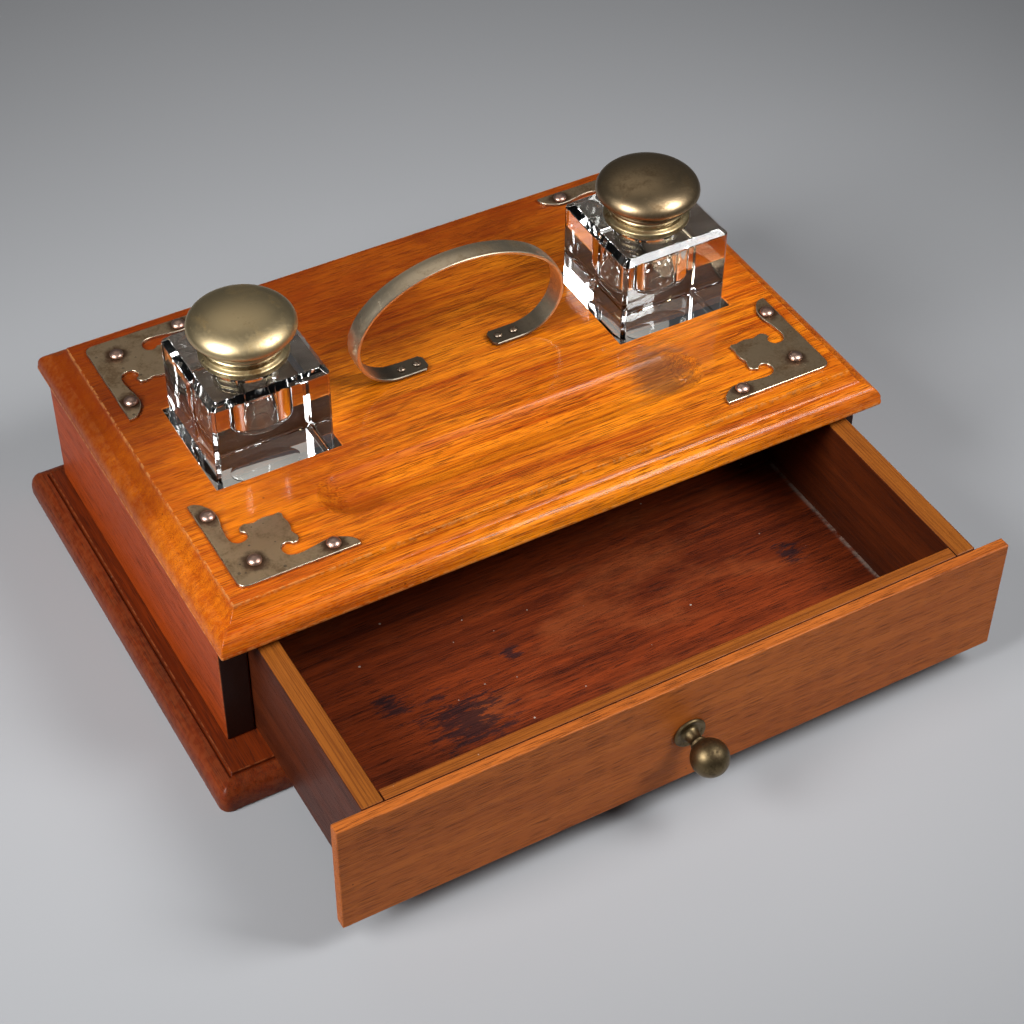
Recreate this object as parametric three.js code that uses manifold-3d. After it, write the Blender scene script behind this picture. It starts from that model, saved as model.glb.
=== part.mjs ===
// A wooden desk inkstand: a moulded top board on a case with one drawer, a moulded plinth,
// two square glass inkwells with domed hinged lids, a strap handle, a pen groove and corner straps.
//
// Millimetres. +X runs to the right along the front, +Y to the rear, +Z up. The origin is on the
// plinth's underside, below the middle of the top board. The drawer is modelled pulled part way out.
import * as THREE from "three";
import { mergeVertices } from "three/addons/utils/BufferGeometryUtils.js";
import Module from "manifold-3d";

const wasm = await Module();
wasm.setup();

// ---------------------------------------------------------------- driving dimensions
const seam = 0.2; // glue line or seat between two pieces that touch
const fastenerGap = 0.3; // round a nail, screw or pin in its hole

// Top board, nose to nose, with an ogee moulding on all four edges
const topWidth = 300;
const topDepth = 190.8;
const topThickness = 15.7;
const coveWidth = 4.2;
const coveDrop = 5.8;
const ovoloWidth = 6.2;
const ovoloDrop = 6.8;
const coveStepBack = 0.6; // the small step from the arris down to the cove
const coveStepDrop = 1.6;
const coveHollow = 0.3; // from 0, a flat bevel, to 1, a full quarter round
const noseLip = 0.4;
const noseUnder = 1.8;

// Plinth board under the case, with a sunk line and a rounded edge
const plinthHeight = 13;
const plinthSideReach = 13.5;
const plinthFrontReach = 23.6;
const plinthRearReach = 12;
const quirkInset = 8;
const quirkWidth = 1;
const quirkDepth = 1.2;
const plinthEdgeDrop = 7.5;
const plinthFootRound = 1.2;

// Case, open at the front
const caseHeight = 59;
const caseWall = 12;
const caseBackWall = 10;
const caseSideInset = 3; // behind the top board's nose, left and right
const caseFrontInset = 12.9;
const caseRearInset = 3.4;

// Drawer: a false front on a box of thinner boards
const drawerPull = 97.5; // how far it stands open as modelled
const frontThickness = 5;
const frontFloorGap = 0.7;
const frontTopGap = 2.6;
const innerFrontThickness = 5.7;
const drawerWall = 9;
const drawerBackThickness = 8;
const drawerSideGap = 0.5;
const drawerRunGap = 0.3;
const drawerEndGap = 2.5;
const drawerPanelThickness = 4;
const drawerPanelRise = 2.7; // from the drawer sides' lower edge to the panel
const drawerPanelTongue = 4;

// Knob
const knobFlangeRadius = 6.9;
const knobFlangeThickness = 1.6;
const knobNeckRadius = 2.85;
const knobBallRadius = 7.65;
const knobReach = 14.7; // front face to the centre of the ball
const knobHeight = 40.6; // above the floor
const knobAcross = -3.5; // from the middle of the drawer front
const knobScrewRadius = 1.6;
const knobScrewHeadRadius = 3.8;
const knobScrewHeadHeight = 2.2;
const knobScrewGrip = 9; // length inside the knob

// Glass inkwells
const wellSize = 50.5;
const wellHeight = 50.3;
const wellSpacing = 184; // between the two centres
const wellSetback = 2.6; // centres behind the middle of the board
const recessDepth = 10.7;
const recessClearance = 1.8;
const wellFloorMargin = 3.2; // how far the floor plate runs past the cut-out
const topBevel = 2.6;
const edgeBevel = 1.5;
const inkRadius = 13.5;
const inkDepth = 31;
const mouthRadius = 12.2;
const mouthHeight = 7;

// Brass collar and domed lid on each inkwell
const collarRadius = 18;
const collarRingHeight = 3.2;
const collarNeckRadius = 16.6;
const collarHeight = 6.3;
const collarBore = 12.2;
const lidGap = 0.4;
const lidSkirtRadius = 16.9;
const lidSkirtBore = 14.6;
const lidSkirtHeight = 4.4;
const domeRadius = 21.8;
const domeEdge = 1;
const domeHeight = 10.2;
const domeWall = 1.2;
const linerThickness = 1.6;
const linerGap = 0.3;

// Hinge at the rear of each collar
const hingeReach = 20.8; // from the centre of the collar
const hingePinRadius = 0.8;
const knuckleRadius = 2;
const lidKnuckleWidth = 5;
const collarKnuckleWidth = 3.6;
const knuckleGap = 0.3;

// Strap handle
const handleHalfSpan = 48.3;
const handleRise = 31; // from the widest level to the outside of the crown
const handleCurl = 20.5; // radius of the turn in to each foot
const handleFootEnd = 15.2; // from the handle's middle to the end of each foot
const handleWidth = 9.2;
const handleThickness = 1.8;
const handleCentreX = 2.3;
const handleCentreY = 3;
const footScrewFar = 26.4; // from the handle's middle
const footScrewNear = 19.2;
const screwHeadRadius = 1.8;
const screwHeadHeight = 1;
const screwShankRadius = 0.9;
const screwLength = 9;

// Pen groove
const grooveLength = 174;
const grooveWidth = 26;
const grooveDepth = 5;
const grooveSetforward = 50; // its middle line in front of the middle of the board

// Corner straps, each a flat plate nailed through both arms and the corner
const strapInset = 5.6; // in from the arris of the top
const strapThickness = 1.2;
const strapArm = 51;
const strapCornerRound = 2.4;
const notchMouth = 27.4; // along the arm, where the round notch opens
const notchLow = 6.6; // width of the arm beside the notch
const armNailAlong = 40.8;
const armNailIn = 4.6;
const cornerNailIn = 10.6;
const nailHeadRadius = 3;
const nailHeadHeight = 2.1;
const nailShankRadius = 0.8;
const nailLength = 9;

// ---------------------------------------------------------------- derived places
const caseFloor = plinthHeight + seam;
const topUnderside = plinthHeight + caseHeight;
const topSurface = topUnderside + topThickness;
const mouldWidth = coveWidth + ovoloWidth + noseLip;
const arrisX = topWidth / 2 - mouldWidth;
const arrisY = topDepth / 2 - mouldWidth;
const caseHalfWidth = topWidth / 2 - caseSideInset;
const caseFront = -topDepth / 2 + caseFrontInset;
const caseRear = topDepth / 2 - caseRearInset;
const backFace = caseRear - caseBackWall;
const bayHalfWidth = caseHalfWidth - caseWall;
const plinthFront = caseFront - plinthFrontReach;
const plinthRear = caseRear + plinthRearReach;
const wellBase = topSurface - recessDepth;
const wellTop = wellBase + wellHeight;
const cutoutSize = wellSize + 2 * recessClearance;
const hingeHeight = wellTop + seam + collarHeight + lidGap / 2;
const hingeY = wellSetback + hingeReach;
const drawerFace = caseFront - drawerPull - frontThickness;
const drawerFrontBack = drawerFace + frontThickness;
const drawerLower = plinthHeight + drawerRunGap;
const drawerUpper = topUnderside - frontTopGap;
const drawerHalfWidth = bayHalfWidth - drawerSideGap;
const drawerInnerHalf = drawerHalfWidth - drawerWall;
const drawerRear = drawerFrontBack + backFace - caseFront - drawerEndGap;
const drawerBackFace = drawerRear - drawerBackThickness;
const panelLow = drawerLower + drawerPanelRise;
const panelHigh = panelLow + drawerPanelThickness;

// ---------------------------------------------------------------- materials
function finish(color, roughness, metalness) {
  return new THREE.MeshStandardMaterial({ color, roughness, metalness });
}

const topWood = finish(0xb5651d, 0.35, 0);
const caseWood = finish(0x6e3320, 0.45, 0);
const frontWood = finish(0x8c4a26, 0.4, 0);
const edgeWood = finish(0xb4742c, 0.6, 0);
const innerWood = finish(0x4a2014, 0.6, 0);
const strapMetal = finish(0x85806a, 0.4, 0.9);
const nailMetal = finish(0x9a7468, 0.3, 0.9);
const handleMetal = finish(0xa0946e, 0.35, 0.95);
const screwMetal = finish(0x4a4743, 0.4, 0.9);
const lidMetal = finish(0x9c9474, 0.3, 0.95);
const knobMetal = finish(0x645942, 0.35, 0.95);
const linerMetal = finish(0x8a7a55, 0.5, 0.9);
const clearGlass = finish(0xdfe6e2, 0.05, 0);

// ---------------------------------------------------------------- solids
// A closed three.js geometry as a manifold-3d solid, with its shared vertices merged.
function solidOf(geometry) {
  const plain = geometry.index ? geometry.toNonIndexed() : geometry.clone();
  plain.deleteAttribute("normal");
  plain.deleteAttribute("uv");
  const merged = mergeVertices(plain, 1e-4);
  const mesh = new wasm.Mesh({
    numProp: 3,
    vertProperties: merged.attributes.position.array,
    triVerts: new Uint32Array(merged.index.array),
  });
  return new wasm.Manifold(mesh);
}

function geometryOf(solid) {
  const mesh = solid.getMesh();
  const geometry = new THREE.BufferGeometry();
  geometry.setAttribute("position", new THREE.BufferAttribute(mesh.vertProperties, 3));
  geometry.setIndex(new THREE.BufferAttribute(mesh.triVerts, 1));
  geometry.computeVertexNormals();
  return geometry;
}

// Joins the added geometries, then cuts the removed ones away.
function carve(added, removed) {
  const joined = added.map(solidOf).reduce((whole, piece) => whole.add(piece));
  return geometryOf(removed.map(solidOf).reduce((whole, tool) => whole.subtract(tool), joined));
}

// A box between two corners.
function block(x0, x1, y0, y1, z0, z1) {
  const box = new THREE.BoxGeometry(x1 - x0, y1 - y0, z1 - z0);
  return box.translate((x0 + x1) / 2, (y0 + y1) / 2, (z0 + z1) / 2);
}

// A profile of [radius, height] pairs turned about a vertical line through (x, y).
function turned(profile, segments, x = 0, y = 0) {
  const points = profile.map(([r, z]) => new THREE.Vector2(r, z));
  return new THREE.LatheGeometry(points, segments).rotateX(Math.PI / 2).translate(x, y, 0);
}

// A cylinder that stands on z0 and reaches z1.
function rod(radius, z0, z1, segments, x = 0, y = 0) {
  return turned([[0, z0], [radius, z0], [radius, z1], [0, z1]], segments, x, y);
}

// A cylinder along X from x0 to x1.
function rodAlongX(radius, x0, x1, segments, y, z) {
  return rod(radius, x0, x1, segments).rotateY(Math.PI / 2).translate(0, y, z);
}

// A rectangular board whose edge profile, a list of [inset, height] pairs from the underside to the
// top, runs round all four sides and meets in mitres.
function mouldedBoard(width, depth, profile) {
  const half = depth / 2;
  const corner = ([inset, z]) => new THREE.Vector2((half - inset) * Math.SQRT2, z);
  const points = [new THREE.Vector2(0, profile[0][1]), ...profile.map(corner)];
  points.push(new THREE.Vector2(0, profile.at(-1)[1]));
  const board = new THREE.LatheGeometry(points, 4, Math.PI / 4).rotateX(Math.PI / 2);
  const position = board.attributes.position;
  for (let i = 0; i < position.count; i += 1) {
    const x = position.getX(i);
    if (Math.abs(x) > seam) position.setX(i, x + (Math.sign(x) * (width - depth)) / 2);
  }
  return board;
}

// Points [u, v] on a quarter of an ellipse about (cu, cv), from angle a0 to a1 in degrees.
function quarter(cu, cv, ru, rv, a0, a1, steps) {
  return Array.from({ length: steps + 1 }, (_, i) => {
    const angle = THREE.MathUtils.degToRad(a0 + ((a1 - a0) * i) / steps);
    return [cu + ru * Math.cos(angle), cv + rv * Math.sin(angle)];
  });
}

const root = new THREE.Group();

function add(name, geometry, material, group = root) {
  const mesh = new THREE.Mesh(geometry, material.clone());
  mesh.name = name;
  group.add(mesh);
}

// ---------------------------------------------------------------- plinth and case
function plinthBoard() {
  const shoulder = plinthHeight - quirkDepth;
  const profile = [
    [plinthFootRound, 0],
    [0, plinthFootRound],
    ...quarter(quirkInset - quirkWidth, shoulder - plinthEdgeDrop, quirkInset - quirkWidth,
      plinthEdgeDrop, 180, 90, 5),
    [quirkInset - quirkWidth / 2, shoulder - quirkDepth / 2],
    [quirkInset, shoulder],
    [quirkInset, plinthHeight],
  ];
  const width = 2 * (caseHalfWidth + plinthSideReach);
  const board = mouldedBoard(width, plinthRear - plinthFront, profile);
  return board.translate(0, (plinthRear + plinthFront) / 2, 0);
}

function caseSide(side) {
  const outer = side * caseHalfWidth;
  const inner = side * bayHalfWidth;
  const low = Math.min(outer, inner);
  const high = Math.max(outer, inner);
  return block(low, high, caseFront, caseRear, caseFloor, topUnderside - seam);
}

function caseBack() {
  const half = bayHalfWidth - seam;
  return block(-half, half, backFace, caseRear, caseFloor, topUnderside - seam);
}

// ---------------------------------------------------------------- top board
const wellSides = [
  ["left", -wellSpacing / 2],
  ["right", wellSpacing / 2],
];
const cornerSides = [
  ["front_left", -1, -1],
  ["front_right", 1, -1],
  ["rear_left", -1, 1],
  ["rear_right", 1, 1],
];
const strapCornerX = arrisX - strapInset;
const strapCornerY = arrisY - strapInset;
const nailPlaces = [
  ["corner", cornerNailIn, cornerNailIn],
  ["side", armNailAlong, armNailIn],
  ["end", armNailIn, armNailAlong],
];

// Where a point given along and in from a strap's corner lies on the board.
function onBoard(sx, sy, along, inward) {
  return [sx * (strapCornerX - along), sy * (strapCornerY - inward)];
}

function footScrews() {
  const offsets = [-footScrewFar, -footScrewNear, footScrewNear, footScrewFar];
  return offsets.map((offset) => [handleCentreX + offset, handleCentreY]);
}

function penGroove() {
  const half = grooveWidth / 2;
  const radius = (half * half + grooveDepth * grooveDepth) / (2 * grooveDepth);
  const straight = grooveLength - grooveWidth;
  const cutter = new THREE.CapsuleGeometry(radius, straight, 6, 24).rotateZ(Math.PI / 2);
  return cutter.translate(0, -grooveSetforward, topSurface - grooveDepth + radius);
}

// The cove from the ovolo's top up to the step, as its chord pulled part of the way to a quarter round.
function shallowCove(inset, height) {
  const width = coveWidth - coveStepBack;
  const drop = coveDrop - coveStepDrop;
  const steps = 3;
  const full = quarter(inset, height + drop, width, drop, -90, 0, steps);
  const points = full.map(([x, z], i) => [
    inset + (width * i) / steps + coveHollow * (x - inset - (width * i) / steps),
    height + (drop * i) / steps + coveHollow * (z - height - (drop * i) / steps),
  ]);
  return points.slice(1);
}

function topBoard() {
  const coveCentre = mouldWidth - coveWidth;
  const ovoloTop = topThickness - coveDrop;
  const profile = [
    [noseUnder, 0],
    [noseLip / 2, noseUnder / 2],
    [0, noseUnder],
    ...quarter(coveCentre, ovoloTop - ovoloDrop, ovoloWidth, ovoloDrop, 180, 90, 5),
    ...shallowCove(coveCentre, ovoloTop),
    [mouldWidth, topThickness],
  ];
  const board = mouldedBoard(topWidth, topDepth, profile).translate(0, 0, topUnderside);
  const cuts = [penGroove()];
  const through = cutoutSize / 2;
  const rebate = through + wellFloorMargin;
  for (const [, x] of wellSides) {
    cuts.push(block(x - through, x + through, wellSetback - through, wellSetback + through,
      topUnderside - 1, topSurface + 1));
    cuts.push(block(x - rebate, x + rebate, wellSetback - rebate, wellSetback + rebate,
      topUnderside - 1, wellBase));
  }
  for (const [, sx, sy] of cornerSides) {
    for (const [, along, inward] of nailPlaces) {
      const [x, y] = onBoard(sx, sy, along, inward);
      const depth = nailLength - strapThickness + fastenerGap;
      cuts.push(rod(nailShankRadius + fastenerGap, topSurface - depth, topSurface + 1, 6, x, y));
    }
  }
  for (const [x, y] of footScrews()) {
    const depth = screwLength - handleThickness + fastenerGap;
    cuts.push(rod(screwShankRadius + fastenerGap, topSurface - depth, topSurface + 1, 6, x, y));
  }
  return carve([board], cuts);
}

function wellFloor(x) {
  const half = cutoutSize / 2 + wellFloorMargin - seam;
  return block(x - half, x + half, wellSetback - half, wellSetback + half,
    topUnderside + seam, wellBase - seam);
}

// ---------------------------------------------------------------- corner straps and nails
// One arm's outline as [control, end] pairs of [along, in]: the pointed tip, the waisted inner edge,
// the round notch, and half of the scalloped tongue. A straight stretch has its end as its control.
function armOutline() {
  const tip = [strapArm - 0.8, 0];
  const edge = [30.6, 29.6];
  const cusp = [29.8, 19];
  return [
    [tip, tip],
    [[strapArm, 4], [strapArm - 5, 6.6]],
    [[strapArm - 8, 9], [strapArm - 14, 8]],
    [[notchMouth + 3, notchLow], [notchMouth, notchLow]],
    [[notchMouth - 5, notchLow], [notchMouth - 5.2, notchLow + 4]],
    [[notchMouth - 5, notchLow + 7.2], [notchMouth - 2.2, notchLow + 7.5]],
    [[notchMouth - 0.4, notchLow + 7.4], [notchMouth + 0.2, notchLow + 5.8]],
    [[31, 12.4], [30.9, 15.6]],
    [cusp, cusp],
    [[31.6, 22.5], [30.2, 27]],
    [edge, edge],
  ];
}

function cornerStrap(sx, sy) {
  const arm = armOutline();
  const shape = new THREE.Shape();
  shape.moveTo(strapCornerRound, 0);
  arm.forEach(([control, end]) => shape.quadraticCurveTo(...control, ...end));
  // The other arm is the same outline with its two directions exchanged, followed back to the corner.
  const ends = arm.map(([, end]) => end);
  shape.lineTo(...ends.at(-1).toReversed());
  for (let i = arm.length - 1; i > 0; i -= 1) {
    shape.quadraticCurveTo(...arm[i][0].toReversed(), ...ends[i - 1].toReversed());
  }
  shape.lineTo(0, strapCornerRound);
  shape.quadraticCurveTo(0, 0, strapCornerRound, 0);
  const plate = new THREE.ExtrudeGeometry(shape, {
    depth: strapThickness,
    bevelEnabled: false,
    curveSegments: 3,
  });
  const holes = nailPlaces.map(([, along, inward]) =>
    rod(nailShankRadius + fastenerGap, -1, strapThickness + 1, 6, along, inward));
  // The plate is drawn for the front left corner and turned half round, or flipped over, for the rest.
  const flipped = sx * sy < 0;
  const strap = carve([plate], holes);
  if (flipped) {
    strap.translate(0, 0, -strapThickness);
    strap.rotateX(Math.PI);
  }
  const turn = { "-1,-1": 0, "1,1": Math.PI, "-1,1": 0, "1,-1": Math.PI }[`${sx},${sy}`];
  strap.rotateZ(turn);
  return strap.translate(sx * strapCornerX, sy * strapCornerY, topSurface + seam);
}

// A domed nail or screw head of the given size on a straight shank, head seat at z.
function domedFastener(headRadius, headHeight, shankRadius, length, x, y, z) {
  const head = quarter(0, z, headRadius, headHeight, 0, 90, 3);
  return turned([[0, z - length], [shankRadius, z - length], [shankRadius, z], ...head], 12, x, y);
}

// ---------------------------------------------------------------- handle
function handleStrap() {
  // The middle line of the right half of the strap, from the crown to the foot.
  const shift = handleThickness / 2;
  const curlHeight = topSurface + seam + handleCurl;
  const crown = quarter(0, curlHeight, handleHalfSpan - shift, handleRise - shift, 90, 0, 12);
  const curlX = handleHalfSpan - handleCurl;
  const curl = quarter(curlX, curlHeight, handleCurl - shift, handleCurl - shift, 0, -90, 6);
  const half = [...crown, ...curl.slice(1), [handleFootEnd, curl.at(-1)[1]]];
  const line = [...half.slice(1).reverse().map(([x, z]) => [-x, z]), ...half];
  const normals = line.map((_, i) => {
    const before = line[Math.max(i - 1, 0)];
    const after = line[Math.min(i + 1, line.length - 1)];
    const along = new THREE.Vector2(after[0] - before[0], after[1] - before[1]).normalize();
    return [-along.y * shift, along.x * shift];
  });
  const outside = line.map(([x, z], i) => new THREE.Vector2(x + normals[i][0], z + normals[i][1]));
  const inside = line.map(([x, z], i) => new THREE.Vector2(x - normals[i][0], z - normals[i][1]));
  const shape = new THREE.Shape([...outside, ...inside.reverse()]);
  const strip = new THREE.ExtrudeGeometry(shape, { depth: handleWidth, bevelEnabled: false });
  strip.rotateX(Math.PI / 2);
  strip.translate(handleCentreX, handleCentreY + handleWidth / 2, 0);
  const holes = footScrews().map(([x, y]) =>
    rod(screwShankRadius + fastenerGap, topSurface, topSurface + handleThickness + 1, 6, x, y));
  return carve([strip], holes);
}

// ---------------------------------------------------------------- drawer
function drawerFront() {
  const low = plinthHeight + frontFloorGap;
  const board = block(-caseHalfWidth, caseHalfWidth, drawerFace, drawerFrontBack, low, drawerUpper);
  return carve([board], [knobScrewHole(drawerFace - 1, drawerFrontBack + 1)]);
}

function drawerInnerFront() {
  const half = drawerInnerHalf - seam;
  const back = drawerFrontBack + innerFrontThickness;
  const board = block(-half, half, drawerFrontBack + seam, back, drawerLower, drawerUpper);
  const groove = panelGroove();
  return carve([board], [groove, knobScrewHole(drawerFrontBack, back + 1)]);
}

function knobScrewHole(y0, y1) {
  const hole = rod(knobScrewRadius + fastenerGap, -y1, -y0, 8).rotateX(Math.PI / 2);
  return hole.translate(knobAcross, 0, knobHeight);
}

// The space that the bottom panel's edges take in the boards round it.
function panelGroove() {
  const half = drawerInnerHalf + drawerPanelTongue + fastenerGap;
  const front = drawerFrontBack + innerFrontThickness - drawerPanelTongue - fastenerGap;
  const rear = drawerBackFace + drawerPanelTongue + fastenerGap;
  return block(-half, half, front, rear, panelLow - fastenerGap, panelHigh + fastenerGap);
}

function drawerSide(side) {
  const outer = side * drawerHalfWidth;
  const inner = side * drawerInnerHalf;
  const low = Math.min(outer, inner);
  const high = Math.max(outer, inner);
  const board = block(low, high, drawerFrontBack + seam, drawerRear, drawerLower, drawerUpper);
  return carve([board], [panelGroove()]);
}

function drawerBack() {
  const half = drawerInnerHalf - seam;
  const board = block(-half, half, drawerBackFace, drawerRear, drawerLower, drawerUpper);
  return carve([board], [panelGroove()]);
}

function drawerPanel() {
  const half = drawerInnerHalf + drawerPanelTongue;
  const front = drawerFrontBack + innerFrontThickness - drawerPanelTongue;
  return block(-half, half, front, drawerBackFace + drawerPanelTongue, panelLow, panelHigh);
}

// Turned pieces on the drawer front are drawn upright and laid down to point forwards.
function pointForward(geometry, y) {
  return geometry.rotateX(Math.PI / 2).translate(knobAcross, y, knobHeight);
}

function knob() {
  const neckTop = knobReach - Math.sqrt(knobBallRadius ** 2 - knobNeckRadius ** 2);
  const startAngle = -Math.acos(knobNeckRadius / knobBallRadius) * THREE.MathUtils.RAD2DEG;
  const profile = [
    [0, seam],
    [knobFlangeRadius, seam],
    [knobFlangeRadius, knobFlangeThickness * 0.7],
    [knobFlangeRadius - 1, knobFlangeThickness],
    [knobNeckRadius + 1, knobFlangeThickness + 0.8],
    [knobNeckRadius, (knobFlangeThickness + neckTop) / 2],
    ...quarter(0, knobReach, knobBallRadius, knobBallRadius, startAngle, 90, 10),
  ];
  const hole = rod(knobScrewRadius + fastenerGap, -1, knobScrewGrip + fastenerGap, 8);
  return pointForward(carve([turned(profile, 20)], [hole]), drawerFace);
}

function knobScrew() {
  const seat = -(frontThickness + innerFrontThickness) - seam;
  const profile = [
    [0, seat - knobScrewHeadHeight],
    [knobScrewHeadRadius * 0.7, seat - knobScrewHeadHeight],
    [knobScrewHeadRadius, seat - knobScrewHeadHeight / 3],
    [knobScrewHeadRadius, seat],
    [knobScrewRadius, seat],
    [knobScrewRadius, knobScrewGrip],
    [0, knobScrewGrip],
  ];
  return pointForward(turned(profile, 12), drawerFace);
}

// ---------------------------------------------------------------- inkwells
// A square glass block with bevelled edges and a round ink cavity.
function wellGlass(x) {
  const profile = [
    [edgeBevel, wellBase],
    [0, wellBase + edgeBevel],
    [0, wellTop - topBevel],
    [topBevel, wellTop],
  ];
  const body = mouldedBoard(wellSize, wellSize, profile);
  // A square prism stood on its corners, which takes the bevel off each upright edge.
  const reach = wellSize - edgeBevel;
  const upright = new THREE.CylinderGeometry(reach, reach, wellHeight + 2, 4).rotateX(Math.PI / 2);
  upright.translate(0, 0, (wellBase + wellTop) / 2);
  const cavityFloor = wellTop - inkDepth;
  const shoulder = wellTop - mouthHeight;
  const cavity = turned([
    ...quarter(0, cavityFloor + inkRadius * 0.6, inkRadius, inkRadius * 0.6, -90, 0, 4),
    [inkRadius, shoulder - 2],
    [mouthRadius, shoulder],
    [mouthRadius, wellTop + 1],
    [0, wellTop + 1],
  ], 24);
  const glass = solidOf(body).intersect(solidOf(upright)).subtract(solidOf(cavity));
  return geometryOf(glass).translate(x, wellSetback, 0);
}

// One hinge barrel with the web that joins it to its ring, between x0 and x1, bored for the pin.
function hingeKnuckle(x0, x1, webLow, webHigh, webInner) {
  const barrel = rodAlongX(knuckleRadius, x0, x1, 12, hingeReach, hingeHeight);
  const web = block(x0, x1, webInner, hingeReach, webLow, webHigh);
  return [barrel, web];
}

function pinBore() {
  return rodAlongX(hingePinRadius + fastenerGap, -20, 20, 8, hingeReach, hingeHeight);
}

function wellCollar(x) {
  const low = wellTop + seam;
  const high = low + collarHeight;
  const ring = turned([
    [collarBore, low],
    [collarRadius, low],
    [collarRadius, low + collarRingHeight * 0.7],
    [collarRadius - 0.8, low + collarRingHeight],
    [collarNeckRadius - 0.8, low + collarRingHeight + 0.5],
    [collarNeckRadius, low + collarRingHeight + 1.4],
    [collarNeckRadius, high],
    [collarBore, high],
    [collarBore, low],
  ], 32);
  const near = lidKnuckleWidth / 2 + knuckleGap;
  const far = near + collarKnuckleWidth;
  const webInner = collarNeckRadius - 2;
  const left = hingeKnuckle(-far, -near, hingeHeight - knuckleRadius, high, webInner);
  const right = hingeKnuckle(near, far, hingeHeight - knuckleRadius, high, webInner);
  return carve([ring, ...left, ...right], [pinBore()]).translate(x, wellSetback, 0);
}

function wellLid(x) {
  const low = wellTop + seam + collarHeight + lidGap;
  const rim = low + lidSkirtHeight;
  const shoulder = rim + domeEdge;
  const inside = quarter(0, shoulder, domeRadius - domeWall, domeHeight - domeWall, 90, 20, 5);
  const shell = turned([
    ...inside,
    [lidSkirtBore, rim + domeWall],
    [lidSkirtBore, low],
    [lidSkirtRadius, low],
    [lidSkirtRadius, low + 1.6],
    [lidSkirtRadius - 0.7, low + 2.2],
    [lidSkirtRadius - 0.7, rim - 0.4],
    [domeRadius - 1.2, rim],
    [domeRadius, rim + 0.4],
    ...quarter(0, shoulder, domeRadius, domeHeight, 0, 90, 8),
  ], 32);
  const half = lidKnuckleWidth / 2;
  const parts = hingeKnuckle(-half, half, low, hingeHeight + knuckleRadius, lidSkirtRadius - 1.6);
  return carve([shell, ...parts], [pinBore()]).translate(x, wellSetback, 0);
}

function lidLiner(x) {
  const low = wellTop + seam + collarHeight + lidGap;
  const radius = lidSkirtBore - linerGap;
  return rod(radius, low + seam, low + seam + linerThickness, 24, x, wellSetback);
}

function hingePin(x) {
  const reach = lidKnuckleWidth / 2 + knuckleGap + collarKnuckleWidth;
  return rodAlongX(hingePinRadius, x - reach, x + reach, 8, hingeY, hingeHeight);
}

// ---------------------------------------------------------------- the assembly
add("plinth_board", plinthBoard(), caseWood);
add("case_left_side", caseSide(-1), caseWood);
add("case_right_side", caseSide(1), caseWood);
add("case_back", caseBack(), caseWood);
add("top_board", topBoard(), topWood);
add("handle_strap", handleStrap(), handleMetal);
footScrews().forEach(([x, y], i) => {
  const seat = topSurface + 2 * seam + handleThickness;
  add(`handle_screw_${i + 1}`,
    domedFastener(screwHeadRadius, screwHeadHeight, screwShankRadius, screwLength, x, y, seat),
    screwMetal);
});

for (const [corner, sx, sy] of cornerSides) {
  add(`strap_${corner}`, cornerStrap(sx, sy), strapMetal);
  for (const [place, along, inward] of nailPlaces) {
    const [x, y] = onBoard(sx, sy, along, inward);
    const seat = topSurface + 2 * seam + strapThickness;
    add(`nail_${corner}_${place}`,
      domedFastener(nailHeadRadius, nailHeadHeight, nailShankRadius, nailLength, x, y, seat),
      nailMetal);
  }
}

for (const [side, x] of wellSides) {
  const well = new THREE.Group();
  root.add(well);
  add(`well_floor_${side}`, wellFloor(x), innerWood, well);
  add(`inkwell_glass_${side}`, wellGlass(x), clearGlass, well);
  add(`inkwell_collar_${side}`, wellCollar(x), lidMetal, well);
  add(`inkwell_lid_${side}`, wellLid(x), lidMetal, well);
  add(`lid_liner_${side}`, lidLiner(x), linerMetal, well);
  add(`lid_hinge_pin_${side}`, hingePin(x), screwMetal, well);
}

const drawer = new THREE.Group();
root.add(drawer);
add("drawer_front", drawerFront(), frontWood, drawer);
add("drawer_inner_front", drawerInnerFront(), edgeWood, drawer);
add("drawer_left_side", drawerSide(-1), edgeWood, drawer);
add("drawer_right_side", drawerSide(1), edgeWood, drawer);
add("drawer_back", drawerBack(), edgeWood, drawer);
add("drawer_bottom", drawerPanel(), innerWood, drawer);
add("drawer_knob", knob(), knobMetal, drawer);
add("drawer_knob_screw", knobScrew(), screwMetal, drawer);

export default root;
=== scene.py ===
# %% [markdown]
# # A wooden desk inkstand
# The inkstand is a moulded top board on a case with one drawer. It carries two square glass inkwells
# with domed lids, a strap handle, a pen groove and four corner straps. The plain solids come from the
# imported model, so every place below is read from them, and this script only makes the finer pieces
# and the finishes. All lengths are in metres, with +X to the right and +Y to the rear.

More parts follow.
